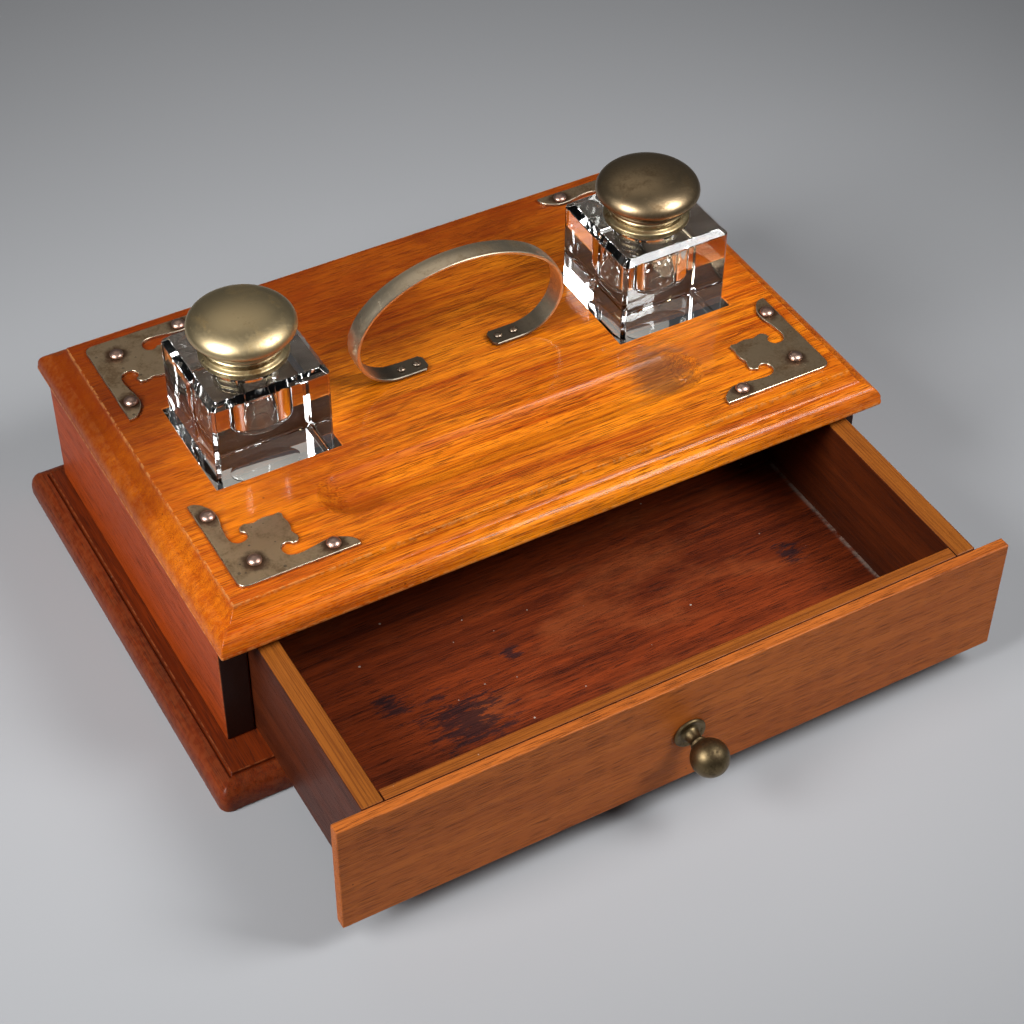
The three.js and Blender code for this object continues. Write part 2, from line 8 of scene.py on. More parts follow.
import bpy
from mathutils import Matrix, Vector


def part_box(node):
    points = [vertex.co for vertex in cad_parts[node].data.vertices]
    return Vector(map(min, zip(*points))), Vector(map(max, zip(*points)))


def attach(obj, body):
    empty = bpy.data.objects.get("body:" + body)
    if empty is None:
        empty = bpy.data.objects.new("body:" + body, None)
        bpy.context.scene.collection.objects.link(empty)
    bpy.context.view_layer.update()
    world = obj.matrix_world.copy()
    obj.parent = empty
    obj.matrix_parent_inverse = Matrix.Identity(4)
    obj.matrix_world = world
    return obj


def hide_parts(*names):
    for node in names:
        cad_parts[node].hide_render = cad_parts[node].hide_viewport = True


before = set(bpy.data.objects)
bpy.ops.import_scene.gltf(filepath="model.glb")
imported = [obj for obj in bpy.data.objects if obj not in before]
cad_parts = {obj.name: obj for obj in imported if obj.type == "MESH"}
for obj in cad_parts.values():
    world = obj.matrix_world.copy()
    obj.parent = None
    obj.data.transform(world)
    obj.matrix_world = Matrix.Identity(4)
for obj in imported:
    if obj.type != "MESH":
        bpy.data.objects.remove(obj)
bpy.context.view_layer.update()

# %% Tools of the workshop
import math

import bmesh
import bpy
from mathutils import Matrix, Vector

MM = 0.001
scene = bpy.context.scene

# %% [markdown]
# ## Camera
# The inkstand is seen from its front left and from well above. A long lens keeps its edges nearly
# parallel. The place is given as a turn, a tilt and a distance from a target, because those three
# are easy to judge one at a time, and the roll is the small lean of a hand-set tripod.

# %% Place the camera
CAMERA_TURN = math.radians(-29.646)
CAMERA_TILT = math.radians(44.115)
CAMERA_ROLL = math.radians(0.559)
CAMERA_DISTANCE = 0.945158
CAMERA_TARGET = Vector((0.0, -0.047965, 0.039971))
LENS_LENGTH, SENSOR_WIDTH, NEAREST = 79.746, 36.0, 0.01


def direction(turn, tilt):
    """Points from the inkstand towards a turn from its front and a tilt above the floor."""
    return Vector((math.sin(turn) * math.cos(tilt), -math.cos(turn) * math.cos(tilt), math.sin(tilt)))


back = direction(CAMERA_TURN, CAMERA_TILT)
level_right = Vector((math.cos(CAMERA_TURN), math.sin(CAMERA_TURN), 0.0))
level_up = back.cross(level_right)
right = level_right * math.cos(CAMERA_ROLL) + level_up * math.sin(CAMERA_ROLL)
up = back.cross(right)
lens = bpy.data.cameras.new("studio_camera")
lens.lens = LENS_LENGTH
lens.sensor_width = SENSOR_WIDTH
lens.clip_start = NEAREST
camera = bpy.data.objects.new("studio_camera", lens)
turn = Matrix((right, up, back)).transposed().to_4x4()
camera.matrix_world = Matrix.Translation(CAMERA_TARGET + CAMERA_DISTANCE * back) @ turn
scene.collection.objects.link(camera)
scene.camera = camera
print("camera stands", round(CAMERA_DISTANCE, 3), "m from the inkstand")

# %% [markdown]
# ## Floor and light
# Studio paper is one pale sheet with no horizon in view. Two soft boxes stand at the left and at the
# front right, so that each upright edge throws a soft shadow both ways, and a wide weak panel behind
# gives the metal a faint warm gleam. An area light is a soft box in one object, its spread is the
# honeycomb that keeps the pool of light small, and the world adds the dim room.

# %% Lay the floor
FLOOR_HALF = 6.0
floor_shape = bmesh.new()
bmesh.ops.create_grid(floor_shape, x_segments=1, y_segments=1, size=FLOOR_HALF)
floor_mesh = bpy.data.meshes.new("paper_floor")
floor_shape.to_mesh(floor_mesh)
floor_shape.free()
paper_floor = bpy.data.objects.new("paper_floor", floor_mesh)
scene.collection.objects.link(paper_floor)


# %% Hang the soft boxes
LIGHT_SPREAD = math.radians(78)
AIM = CAMERA_TARGET + Vector((0.0, 0.05, 0.0))
ROOM_COLOUR = (0.80, 0.83, 0.88, 1)
ROOM_STRENGTH = 0.07


def soft_box(name, turn, tilt, distance, size, power, colour=(1, 1, 1)):
    """An area light that looks at the inkstand from a turn and a tilt in degrees."""
    away = direction(math.radians(turn), math.radians(tilt))
    light = bpy.data.lights.new(name, "AREA")
    light.shape = "RECTANGLE"
    light.size, light.size_y = size
    light.energy = power
    light.color = colour
    light.spread = LIGHT_SPREAD
    lamp = bpy.data.objects.new(name, light)
    lamp.location = AIM + distance * away
    lamp.rotation_euler = away.to_track_quat("Z", "Y").to_euler()
    scene.collection.objects.link(lamp)
    print(name, "at", [round(value, 2) for value in lamp.location])


soft_box("soft_box_left", turn=-76, tilt=38, distance=1.0, size=(0.42, 0.5), power=2.3)
soft_box("soft_box_right", turn=40, tilt=48, distance=0.9, size=(0.3, 0.4), power=1.35)
soft_box("rear_paper", turn=168, tilt=58, distance=1.5, size=(1.3, 0.9), power=0.3, colour=(1.0, 0.93, 0.84))

room = bpy.data.worlds.new("pale_room")
room.use_nodes = True
background = room.node_tree.nodes["Background"].inputs
background["Color"].default_value = ROOM_COLOUR
background["Strength"].default_value = ROOM_STRENGTH
scene.world = room
scene.view_settings.view_transform = "Standard"

# %% [markdown]
# ## Shader tools
# A material is a small graph of nodes. These helpers add one node each, so that a finish below reads
# from top to bottom like a recipe. An input is given by its name, as a value or as another socket.


# %% Helpers that add one shader node each
def add(tree, kind, inputs=None, **settings):
    """One node, with its settings made and its inputs filled in or linked."""
    made = tree.nodes.new(kind)
    for name, value in settings.items():
        setattr(made, name, value)
    for name, value in (inputs or {}).items():
        if isinstance(value, bpy.types.NodeSocket):
            tree.links.new(value, made.inputs[name])
        else:
            made.inputs[name].default_value = value
    return made


def sums(tree, operation, *values):
    """Arithmetic on one, two or three numbers."""
    return add(tree, "ShaderNodeMath", dict(enumerate(values)), operation=operation).outputs[0]


def times(tree, first, second):
    return sums(tree, "MULTIPLY", first, second)


def minus(tree, first, second):
    return sums(tree, "SUBTRACT", first, second)


def scale_add(tree, value, factor, onto):
    """A value times a factor, added onto another."""
    return sums(tree, "MULTIPLY_ADD", value, factor, onto)


def blend(tree, factor, first, second):
    """A mix of two colours."""
    return add(tree, "ShaderNodeMix", {0: factor, 6: first, 7: second}, data_type="RGBA").outputs[2]


def layer(tree, mask, strength, under, over):
    """One colour laid over another where a mask is, and no thicker than a strength."""
    return blend(tree, times(tree, mask, strength), under, over)


def waver(tree, pattern, amount, onto):
    """A number moved up and down by a pattern that runs from nought to one."""
    return scale_add(tree, minus(tree, pattern, 0.5), amount, onto)


def vectors(tree, operation, *values, output=0):
    """Arithmetic on vectors."""
    return add(tree, "ShaderNodeVectorMath", dict(enumerate(values)), operation=operation).outputs[output]


def apart(tree, first, second):
    """The distance between two points."""
    return vectors(tree, "DISTANCE", first, second, output="Value")


def part(tree, vector, axis):
    """One number of a vector: 0 is X, 1 is Y and 2 is Z."""
    return add(tree, "ShaderNodeSeparateXYZ", {0: vector}).outputs[axis]


def facing(tree, axis):
    """How far a face looks along an axis, from -1 to 1."""
    return part(tree, add(tree, "ShaderNodeNewGeometry").outputs["Normal"], axis)

def fade(tree, value, start, end, low=0.0, high=1.0):
    """A number that goes smoothly from low to high while value goes from start to end."""
    names = {"Value": value, "From Min": start, "From Max": end, "To Min": low, "To Max": high}
    return add(tree, "ShaderNodeMapRange", names, interpolation_type="SMOOTHSTEP").outputs[0]


def noise(tree, vector, stretch, detail=3.0, roughness=0.55, distortion=0.0):
    """Noise of about one feature to each metre divided by stretch, along each axis."""
    moved = add(tree, "ShaderNodeMapping", {"Vector": vector, "Scale": stretch})
    names = {"Vector": moved.outputs[0], "Scale": 1.0, "Detail": detail,
             "Roughness": roughness, "Distortion": distortion}
    return add(tree, "ShaderNodeTexNoise", names).outputs[0]


def rgb(red, green, blue):
    """A colour with the values that a paint program shows, from 0 to 255, made linear."""
    linear = [((value / 255 + 0.055) / 1.055) ** 2.4 for value in (red, green, blue)]
    return (*linear, 1.0)


VECTORS = {"Vector", "Centre"}
COLOURS = {"Color", "Light", "Dark", "Pore", "Metal", "Film"}


def new_group(name, inputs, outputs):
    """An empty shader group with its sockets named in two lines of text, and its two end nodes."""
    group = bpy.data.node_groups.new(name, "ShaderNodeTree")
    for way, labels in (("INPUT", inputs), ("OUTPUT", outputs)):
        for label in labels.split():
            kind = "Vector" if label in VECTORS else "Color" if label in COLOURS else "Float"
            group.interface.new_socket(label, in_out=way, socket_type="NodeSocket" + kind)
    return group, add(group, "NodeGroupInput").outputs, add(group, "NodeGroupOutput")


def give(group, result, **finished):
    """Links finished values to the group's outputs of the same names."""
    for name, value in finished.items():
        group.links.new(value, result.inputs[name])


def place(tree, group, inputs):
    """The group used once in a material or in another group."""
    return add(tree, "ShaderNodeGroup", inputs, node_tree=group).outputs
# %% [markdown]
# ## Shared effects
# Every board is cut from the same open-pored hardwood, so its figure is one group. It is solid noise
# stretched along the grain: wide patches of colour, growth bands a few millimetres apart, fine fibres,
# and short dark pores. Because the noise fills space, a board's ends show end grain by themselves.

# %% Group: open-pored wood
wood_group, given, result = new_group("open_pored_wood", "Vector Light Dark Pore Pores Figure",
                                      "Color Roughness Height")
tree = wood_group
grain = given["Vector"]
patches = noise(tree, grain, (7, 22, 22), 3, 0.6)
bands = noise(tree, grain, (6, 300, 220), 4, 0.66, 0.1)
fibres = noise(tree, grain, (22, 2600, 2600), 3, 0.66)
ripple = noise(tree, grain, (110, 900, 900), 2, 0.5)
pore_field = noise(tree, grain, (85, 3600, 3600), 1, 0.5)
pore_places = noise(tree, grain, (14, 170, 170), 2, 0.5)
tone = scale_add(tree, fade(tree, patches, 0.3, 0.7), 0.5,
                 times(tree, fade(tree, bands, 0.32, 0.68), 0.5))
tone = waver(tree, ripple, 0.35, waver(tree, fibres, 1.7, tone))
tone = waver(tree, tone, given["Figure"], 0.5)
pores = fade(tree, scale_add(tree, pore_places, 0.22, pore_field), 0.68, 0.76)
pores = times(tree, pores, given["Pores"])
timber = blend(tree, add(tree, "ShaderNodeClamp", {0: tone}).outputs[0], given["Light"], given["Dark"])
closed = minus(tree, 1.0, pores)
give(tree, result, Color=blend(tree, pores, timber, given["Pore"]),
     Roughness=scale_add(tree, fibres, 0.12, pores),
     Height=scale_add(tree, fibres, 0.18, closed))

# %% [markdown]
# A worn edge is not an even line: the finish is rubbed through in short lengths. Each piece marks
# its rounded edges with a number called wear, and this group breaks that number up with noise.

# %% Group: rubbed edges
wear_group, given, result = new_group("rubbed_edges", "Vector Scale Amount", "Mask")
tree = wear_group
marked = add(tree, "ShaderNodeAttribute", attribute_name="wear").outputs["Fac"]
scaled = add(tree, "ShaderNodeVectorMath", {0: given["Vector"], "Scale": given["Scale"]},
             operation="SCALE").outputs[0]
patchy = add(tree, "ShaderNodeTexNoise", {"Vector": scaled, "Scale": 1.0, "Detail": 4.0}).outputs[0]
broken = fade(tree, scale_add(tree, given["Amount"], 0.5, patchy), 0.62, 0.78)
give(tree, result, Mask=times(tree, broken, marked))


def rubbed(tree, where, scale, amount):
    """The mask of the rubbed edges in a material."""
    return place(tree, wear_group, {"Vector": where, "Scale": scale, "Amount": amount})["Mask"]
# %% [markdown]
# Specks are the dust, nicks and dents of long use: small spots, sparse, and of uneven size.

# %% Group: sparse specks
speck_group, given, result = new_group("sparse_specks", "Vector Scale Size Share", "Mask")
tree = speck_group
cells = add(tree, "ShaderNodeTexVoronoi", {"Vector": given["Vector"], "Scale": given["Scale"]}).outputs
picked = add(tree, "ShaderNodeSeparateColor", {0: cells["Color"]}).outputs
near = sums(tree, "LESS_THAN", cells["Distance"], times(tree, given["Size"], picked[1]))
kept = sums(tree, "LESS_THAN", picked[0], given["Share"])
give(tree, result, Mask=times(tree, near, kept))


def specks(tree, where, scale, size, share):
    """The mask of specks of one kind: size is in cells, and share is how many cells have one."""
    return place(tree, speck_group, {"Vector": where, "Scale": scale, "Size": size, "Share": share})["Mask"]
# %% [markdown]
# A stain is a soft round patch whose edge is torn by noise. Ink has run on the drawer's bottom, and
# the ends of the pen groove are dark with handling, so one small group serves for both.

# %% Group: torn stain
stain_group, given, result = new_group("torn_stain", "Vector Centre Radius Tear", "Mask")
tree = stain_group
torn = noise(tree, given["Vector"], (90, 420, 420), 6, 0.75, 0.4)
reach = sums(tree, "DIVIDE", apart(tree, given["Vector"], given["Centre"]), given["Radius"])
give(tree, result, Mask=fade(tree, waver(tree, torn, given["Tear"], reach), 1.0, 0.35))


def stain(tree, where, centre, radius, tear):
    """The mask of one stain, with its radius in millimetres."""
    return place(tree, stain_group, {"Vector": where, "Centre": centre, "Radius": radius * MM,
                                     "Tear": tear})["Mask"]
# %% [markdown]
# Old plated metal is never one colour. A thin brown film gathers in clouds, small pits go through
# the plating, and fine scratches run every way. This group gives all three to every metal piece.

# %% Group: tarnished plate
tarnish_group, given, result = new_group("tarnished_plate", "Vector Metal Film Amount Gloss Pits",
                                         "Color Roughness Height")
tree = tarnish_group
metal_place = given["Vector"]
clouds = noise(tree, metal_place, (90, 90, 90), 5, 0.62, 0.4)
mottle = noise(tree, metal_place, (900, 900, 900), 3, 0.6)
scratch_a = noise(tree, metal_place, (160, 5200, 900), 1, 0.5, 0.2)
scratch_b = noise(tree, metal_place, (4800, 210, 900), 1, 0.5, 0.2)
scratches = sums(tree, "MAXIMUM", fade(tree, scratch_a, 0.66, 0.74), fade(tree, scratch_b, 0.67, 0.75))
film = sums(tree, "ADD", waver(tree, mottle, 0.35, clouds), minus(tree, given["Amount"], 0.5))
film = fade(tree, film, 0.38, 0.72)
pits = times(tree, specks(tree, metal_place, 420.0, 0.3, 0.16), given["Pits"])
metal = layer(tree, pits, 0.85, blend(tree, film, given["Metal"], given["Film"]), (0.02, 0.013, 0.01, 1))
dull = scale_add(tree, film, 0.16, given["Gloss"])
dull = scale_add(tree, scratches, 0.1, dull)
dull = scale_add(tree, pits, 0.4, dull)
tall = minus(tree, times(tree, mottle, 0.3), pits)
give(tree, result, Color=metal, Roughness=dull, Height=scale_add(tree, scratches, -0.25, tall))
print("shader groups:", sorted(group.name for group in bpy.data.node_groups))

# %% [markdown]
# ## Wood finishes
# Each board takes the wood group with its own two browns. A Mapping node turns the grain along the
# board and slides the pattern, so that no two boards show the same figure. Varnish is the shader's
# coat: a smooth clear layer over the rougher grain.


# %% Helpers that start and finish a material
def begin(name, **fixed):
    """A new material with one Principled shader, whose plain numbers are set by name."""
    material = bpy.data.materials.new(name)
    material.use_nodes = True
    tree = material.node_tree
    tree.nodes.clear()
    surface = add(tree, "ShaderNodeBsdfPrincipled")
    add(tree, "ShaderNodeOutputMaterial", {"Surface": surface.outputs[0]})
    for label, value in fixed.items():
        surface.inputs[label.replace("_", " ")].default_value = value
    place_on_piece = add(tree, "ShaderNodeTexCoord").outputs["Object"]
    return material, tree, surface, place_on_piece


def dress(tree, surface, colour, roughness, height, relief):
    """Links a finished colour, roughness and height, with relief as the height's real depth."""
    tree.links.new(colour, surface.inputs["Base Color"])
    tree.links.new(roughness, surface.inputs["Roughness"])
    bump = add(tree, "ShaderNodeBump", {"Height": height, "Distance": relief, "Strength": 1.0})
    tree.links.new(bump.outputs[0], surface.inputs["Normal"])


def timber_of(tree, where, shift, across, light, dark, pore, pores=0.8, figure=1.0):
    """The wood group on a board: across turns the grain from along X to along Y."""
    turned = (0.0, 0.0, math.radians(90)) if across else (0.0, 0.0, 0.0)
    moved = add(tree, "ShaderNodeMapping", {"Vector": where, "Rotation": turned, "Location": shift})
    return moved.outputs[0], place(tree, wood_group, {
        "Vector": moved.outputs[0], "Light": light, "Dark": dark, "Pore": pore,
        "Pores": pores, "Figure": figure})


def edge_distance(tree, where, low, high):
    """How far inside a rectangle in plan a point is, given the rectangle's two corners."""
    half = (high - low) / 2
    folded = vectors(tree, "ABSOLUTE", vectors(tree, "SUBTRACT", where, tuple((low + high) / 2)))
    return sums(tree, "MINIMUM", minus(tree, half.x, part(tree, folded, 0)),
                minus(tree, half.y, part(tree, folded, 1)))
# %% [markdown]
# The top board is the brightest wood, an orange brown under worn varnish. It is painted lighter round a
# bright place at the front and darker towards the back and the left, which is old varnish with painted
# light falloff laid in. Dark wax sits where the moulding starts, the ends of the pen groove are stained,
# and the walls of the square wells are painted dark as painted shade.

# %% Finish of the top board
MOULD_WIDTH = 10.8 * MM
GROOVE_LENGTH, GROOVE_WIDTH, GROOVE_DEPTH, GROOVE_FORWARD = 174.0, 26.0, 5.0, 50.0
GROOVE_LEAN = math.radians(3.75)
# For each end of the pen groove: its side, the stain's colour, its radius in millimetres and its strength.
GROOVE_STAINS = [(-1, rgb(128, 44, 8), 17, 0.6), (1, rgb(82, 54, 40), 19, 0.7)]
top_low, top_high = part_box("top_board")
# The middle of a painted pool of light at the front of the top board.
PAINTED_LIGHT_CENTRE = (0.025, -0.055, top_high.z)
top_wood, tree, surface, where = begin("top_wood", Coat_Weight=0.2, Coat_Roughness=0.12,
                                       Specular_IOR_Level=0.08)
_, timber = timber_of(tree, where, (0.31, 0.07, 0.02), False, light=rgb(242, 140, 22), dark=rgb(158, 62, 6),
                      pore=rgb(80, 28, 6), pores=0.7, figure=1.05)
# Dark wax where the moulding starts.
inside = edge_distance(tree, where, top_low, top_high)
off_arris = sums(tree, "ABSOLUTE", minus(tree, inside, MOULD_WIDTH))
wax = times(tree, fade(tree, off_arris, 0.0012, 0.0003),
            fade(tree, noise(tree, where, (260, 260, 260), 4, 0.7), 0.5, 0.66))
aged = layer(tree, wax, 0.5, timber["Color"], rgb(62, 28, 14))
# Age in clouds, then old varnish with painted light falloff: redder away from the painted pool of light
# at the front, and darkest towards the rear and the left.
ageing = noise(tree, where, (22, 30, 30), 4, 0.65)
aged = blend(tree, fade(tree, ageing, 0.5, 0.75, 0.0, 0.4), aged, rgb(140, 52, 10))
off_painted_light = waver(tree, ageing, 0.12, apart(tree, where, PAINTED_LIGHT_CENTRE))
aged = blend(tree, fade(tree, off_painted_light, 0.055, 0.15, 0.0, 0.42), aged, rgb(184, 76, 12))
# Painted shade with old varnish: darker towards the rear and the left.
leftward_shade_and_age = scale_add(tree, part(tree, where, 0), -0.28,
                     waver(tree, ageing, 0.16, part(tree, where, 1)))
aged = blend(tree, fade(tree, leftward_shade_and_age, -0.05, 0.1, 0.0, 0.82), aged, rgb(108, 36, 6))
for side, stain_colour, radius, strength in GROOVE_STAINS:
    out = side * (GROOVE_LENGTH / 2 - 15) * MM
    centre = (out * math.cos(GROOVE_LEAN), out * math.sin(GROOVE_LEAN) - GROOVE_FORWARD * MM, top_high.z)
    aged = layer(tree, stain(tree, where, centre, radius, 1.6), strength, aged, stain_colour)
aged = layer(tree, rubbed(tree, where, 520.0, 0.42), 0.35, aged, rgb(226, 160, 92))
nicks = specks(tree, where, 190.0, 0.1, 0.09)
aged = layer(tree, nicks, 0.6, aged, rgb(52, 24, 14))
# The walls of the wells are the faces inside the moulding that don't look up. They are painted dark
# as painted shade in the recesses round the glass.
well_wall_shade = times(tree, fade(tree, facing(tree, 2), 0.4, 0.15),
                  fade(tree, inside, MOULD_WIDTH + 1 * MM, MOULD_WIDTH + 3 * MM))
aged = blend(tree, well_wall_shade, aged, rgb(44, 34, 28))
dull = scale_add(tree, timber["Roughness"], 0.2, 0.34)
dress(tree, surface, aged, scale_add(tree, nicks, 0.2, dull), timber["Height"], relief=0.00018)

# %% [markdown]
# The case and the plinth are stained darker and redder than the top, and the plinth is the darkest.


# %% Finishes of the case boards
def stained_board(name, light, dark, shift, across, coat, polish, front_shade_amount=0.0):
    """A satin stained board with rubbed edges, small nicks and a little dust on top.
    With the last argument, the faces that look to the front are painted near black as painted shade."""
    material, tree, surface, where = begin(name, Coat_Weight=coat, Coat_Roughness=0.22,
                                           Specular_IOR_Level=0.12)
    _, timber = timber_of(tree, where, shift, across, light, dark, rgb(44, 18, 10), 0.6, 0.9)
    colour = layer(tree, rubbed(tree, where, 380.0, 0.42), 0.35, timber["Color"], rgb(176, 104, 60))
    # Painted shade: the faces that look to the front go near black.
    front_shade = fade(tree, facing(tree, 1), -0.6, -0.9, 0.0, front_shade_amount)
    colour = blend(tree, front_shade, colour, rgb(24, 15, 12))
    colour = layer(tree, specks(tree, where, 190.0, 0.09, 0.08), 0.6, colour, rgb(30, 14, 10))
    colour = layer(tree, specks(tree, where, 360.0, 0.08, 0.04), 0.5, colour, rgb(196, 178, 160))
    dull = scale_add(tree, timber["Roughness"], 0.2, polish)
    dress(tree, surface, colour, dull, timber["Height"], relief=0.00013)
    return material


case_wood = stained_board("case_wood", rgb(168, 66, 14), rgb(122, 44, 8), (0.1, 0.4, 0.2), across=True,
                          coat=0.08, polish=0.46, front_shade_amount=0.95)
plinth_wood = stained_board("plinth_wood", rgb(124, 48, 14), rgb(86, 30, 8), (0.5, 0.2, 0.6), across=True,
                            coat=0.12, polish=0.42)
rear_wood = stained_board("rear_wood", rgb(140, 74, 44), rgb(98, 48, 28), (0.7, 0.3, 0.1), across=False,
                          coat=0.1, polish=0.45)
front_wood = stained_board("front_wood", rgb(190, 104, 40), rgb(152, 76, 28), (0.2, 0.9, 0.4), across=False,
                           coat=0.05, polish=0.45)
floor_wood = stained_board("well_floor_wood", rgb(62, 52, 46), rgb(42, 35, 31), (0.9, 0.8, 0.7), across=False,
                           coat=0, polish=0.55)
# %% [markdown]
# The drawer's boards are pale ochre with thin dark grain lines on their top edges and dark red-brown
# stain on their other faces, with painted shade laid into that dark colour. The shader tells the two
# apart by which way a face looks.


# %% Finishes of the drawer boards
def drawer_board(name, shift, across, pale_light, pale_dark):
    """Pale on the faces that look up, and dark red-brown stain with painted shade on the others."""
    material, tree, surface, where = begin(name, Coat_Weight=0.08, Coat_Roughness=0.3,
                                           Specular_IOR_Level=0.12)
    grain, stained = timber_of(tree, where, shift, across, rgb(90, 38, 14), rgb(56, 21, 8),
                               rgb(30, 14, 10), 0.5, 0.9)
    lines = noise(tree, grain, (12, 1500, 1500), 3, 0.6)
    pale = blend(tree, fade(tree, lines, 0.42, 0.66), pale_light, pale_dark)
    dashes = noise(tree, grain, (70, 1600, 1600), 2, 0.5)
    pale = blend(tree, fade(tree, dashes, 0.6, 0.72, 0.0, 0.6), pale, rgb(104, 54, 20))
    # Painted shade: the faces that don't look up take the darker stained colour.
    colour = blend(tree, fade(tree, facing(tree, 2), 0.6, 0.8), stained["Color"], pale)
    colour = layer(tree, specks(tree, where, 300.0, 0.12, 0.05), 0.45, colour, rgb(205, 190, 170))
    dull = scale_add(tree, stained["Roughness"], 0.2, 0.42)
    dress(tree, surface, colour, dull, stained["Height"], relief=0.00014)
    return material


edge_wood = drawer_board("edge_wood", (0.3, 0.6, 0.1), True, rgb(142, 80, 26), rgb(112, 58, 18))
inner_front_wood = drawer_board("inner_front_wood", (0.8, 0.1, 0.3), False,
                                rgb(146, 80, 26), rgb(114, 58, 18))

# %% [markdown]
# The drawer's bottom is darker, with a worn field, grey glue lines at its sides and a few old ink
# stains of uneven size.

# %% Finish of the drawer's bottom
# Each ink stain's X, Y and radius in millimetres.
INK = [(-62, -124, 17), (-86, -104, 8), (-30, -101, 5), (101, -108, 7)]
GLUE_INSET = Vector((4, 4, 0)) * MM
bottom_low, bottom_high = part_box("drawer_bottom")
bottom_wood, tree, surface, where = begin("bottom_wood", Coat_Weight=0.05, Coat_Roughness=0.35,
                                          Specular_IOR_Level=0.12)
_, timber = timber_of(tree, where, (0.4, 0.25, 0.5), False, light=rgb(132, 54, 22), dark=rgb(78, 29, 14),
                      pore=rgb(30, 14, 12), pores=0.7, figure=1.1)
worn_field = noise(tree, where, (16, 34, 34), 4, 0.65)
colour = blend(tree, fade(tree, worn_field, 0.5, 0.72, 0.0, 0.5), timber["Color"], rgb(146, 72, 36))
ink = 0.0
for ink_x, ink_y, ink_radius in INK:
    centre = (ink_x * MM, ink_y * MM, bottom_high.z)
    ink = sums(tree, "MAXIMUM", stain(tree, where, centre, ink_radius, 5.0), ink)
colour = layer(tree, ink, 0.78, colour, rgb(24, 24, 30))
colour = layer(tree, specks(tree, where, 230.0, 0.12, 0.12), 0.55, colour, rgb(206, 196, 184))
at_joint = edge_distance(tree, where, bottom_low + GLUE_INSET, bottom_high - GLUE_INSET)
grey_line = times(tree, fade(tree, at_joint, 0.0024, 0.0006),
                  fade(tree, noise(tree, where, (140, 140, 140), 4, 0.7), 0.35, 0.6))
colour = layer(tree, grey_line, 0.6, colour, rgb(150, 138, 126))
dress(tree, surface, colour, scale_add(tree, timber["Roughness"], 0.18, 0.46),
      timber["Height"], relief=0.00014)
print("wood finishes:", len([m for m in bpy.data.materials if "wood" in m.name]))

# %% [markdown]
# ## Metal finishes
# All the metal was once plated. Nickel has worn to a grey olive on the corner straps and the lids,
# the nails went pinkish brown, and the knob is dark antique brass. One helper gives each its colours.


# %% Finishes of the metal pieces
def beside_nails(tree, where):
    """One next to a nail and nought away from it, with the four corners folded onto one."""
    flat = vectors(tree, "MULTIPLY", vectors(tree, "ABSOLUTE", where), (1, 1, 0))
    nearest = 1.0
    for nail in ("corner", "side", "end"):
        low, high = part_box("nail_front_right_" + nail)
        middle = (low + high) / 2
        nearest = sums(tree, "MINIMUM", apart(tree, flat, (abs(middle.x), abs(middle.y), 0)), nearest)
    torn_rim = waver(tree, noise(tree, where, (300, 300, 300), 4, 0.65), 0.006, nearest)
    return fade(tree, torn_rim, 0.0068, 0.0036)
def plated(name, metal, film, amount, gloss, pits, relief=0.00004, worn=None, dark_below=None, soiled=False):
    """A metal finish on the tarnish group, with edges rubbed bright where the piece marks wear.
    With dark_below the metal goes to gunmetal near that height, where polish never reached. With
    soiled, brown dirt rings the nails."""
    material, tree, surface, where = begin(name, Metallic=1.0)
    plate = place(tree, tarnish_group, {"Vector": where, "Metal": metal, "Film": film,
                                        "Amount": amount, "Gloss": gloss, "Pits": pits})
    colour = plate["Color"]
    dull = plate["Roughness"]
    if soiled:
        dirt = beside_nails(tree, where)
        colour = layer(tree, dirt, 0.85, colour, rgb(74, 46, 32))
        dull = scale_add(tree, dirt, 0.2, dull)
    if worn:
        bright = rubbed(tree, where, 500.0, 0.75)
        colour = layer(tree, bright, 0.5, colour, worn)
        dull = scale_add(tree, bright, -0.08, dull)
    if dark_below:
        foot_film = fade(tree, part(tree, where, 2), dark_below + 0.009, dark_below + 0.0015)
        colour = layer(tree, foot_film, 0.85, colour, rgb(74, 68, 62))
    dress(tree, surface, colour, dull, plate["Height"], relief)
    return material


strap_nickel = plated("strap_nickel", rgb(206, 180, 146), rgb(142, 112, 80), amount=0.46, gloss=0.33,
                      pits=0.7, relief=0.00005, worn=rgb(236, 228, 206), soiled=True)
nail_metal = plated("nail_metal", rgb(206, 172, 156), rgb(146, 108, 94), amount=0.42, gloss=0.34, pits=0.3)
handle_metal = plated("handle_metal", rgb(240, 220, 188), rgb(188, 162, 126), amount=0.42, gloss=0.34,
                      pits=0.3, relief=0.00003, worn=rgb(244, 236, 212),
                      dark_below=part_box("handle_strap")[0].z)
screw_metal = plated("dark_screw", rgb(168, 152, 134), rgb(92, 78, 66), amount=0.45, gloss=0.32, pits=0.4)
lid_metal = plated("lid_metal", rgb(216, 194, 150), rgb(184, 157, 110), amount=0.42, gloss=0.36, pits=0.12,
                   relief=0.00002)
# The right lid takes a darker copy of the lid metal, which is painted shade.
painted_shade_lid_metal = plated("painted_shade_lid_metal", rgb(166, 144, 112), rgb(112, 92, 66), amount=0.46, gloss=0.33,
                        pits=0.15, relief=0.00002)
collar_metal = plated("collar_metal", rgb(206, 188, 144), rgb(116, 92, 58), amount=0.52, gloss=0.32, pits=0.9,
                      relief=0.00007)
liner_brass = plated("liner_brass", rgb(176, 148, 92), rgb(96, 74, 44), amount=0.55, gloss=0.4, pits=0.6)
knob_brass = plated("knob_brass", rgb(116, 100, 72), rgb(74, 61, 44), amount=0.5, gloss=0.4, pits=0.4)

# %% [markdown]
# ## Glass
# The wells are thick clear glass. The shader's own transmission and its index of refraction do the
# work. A thin grey film breaks the shine a little, and rays on their way to a lamp pass straight
# through, because a path tracer finds the light that real glass focuses only very slowly.

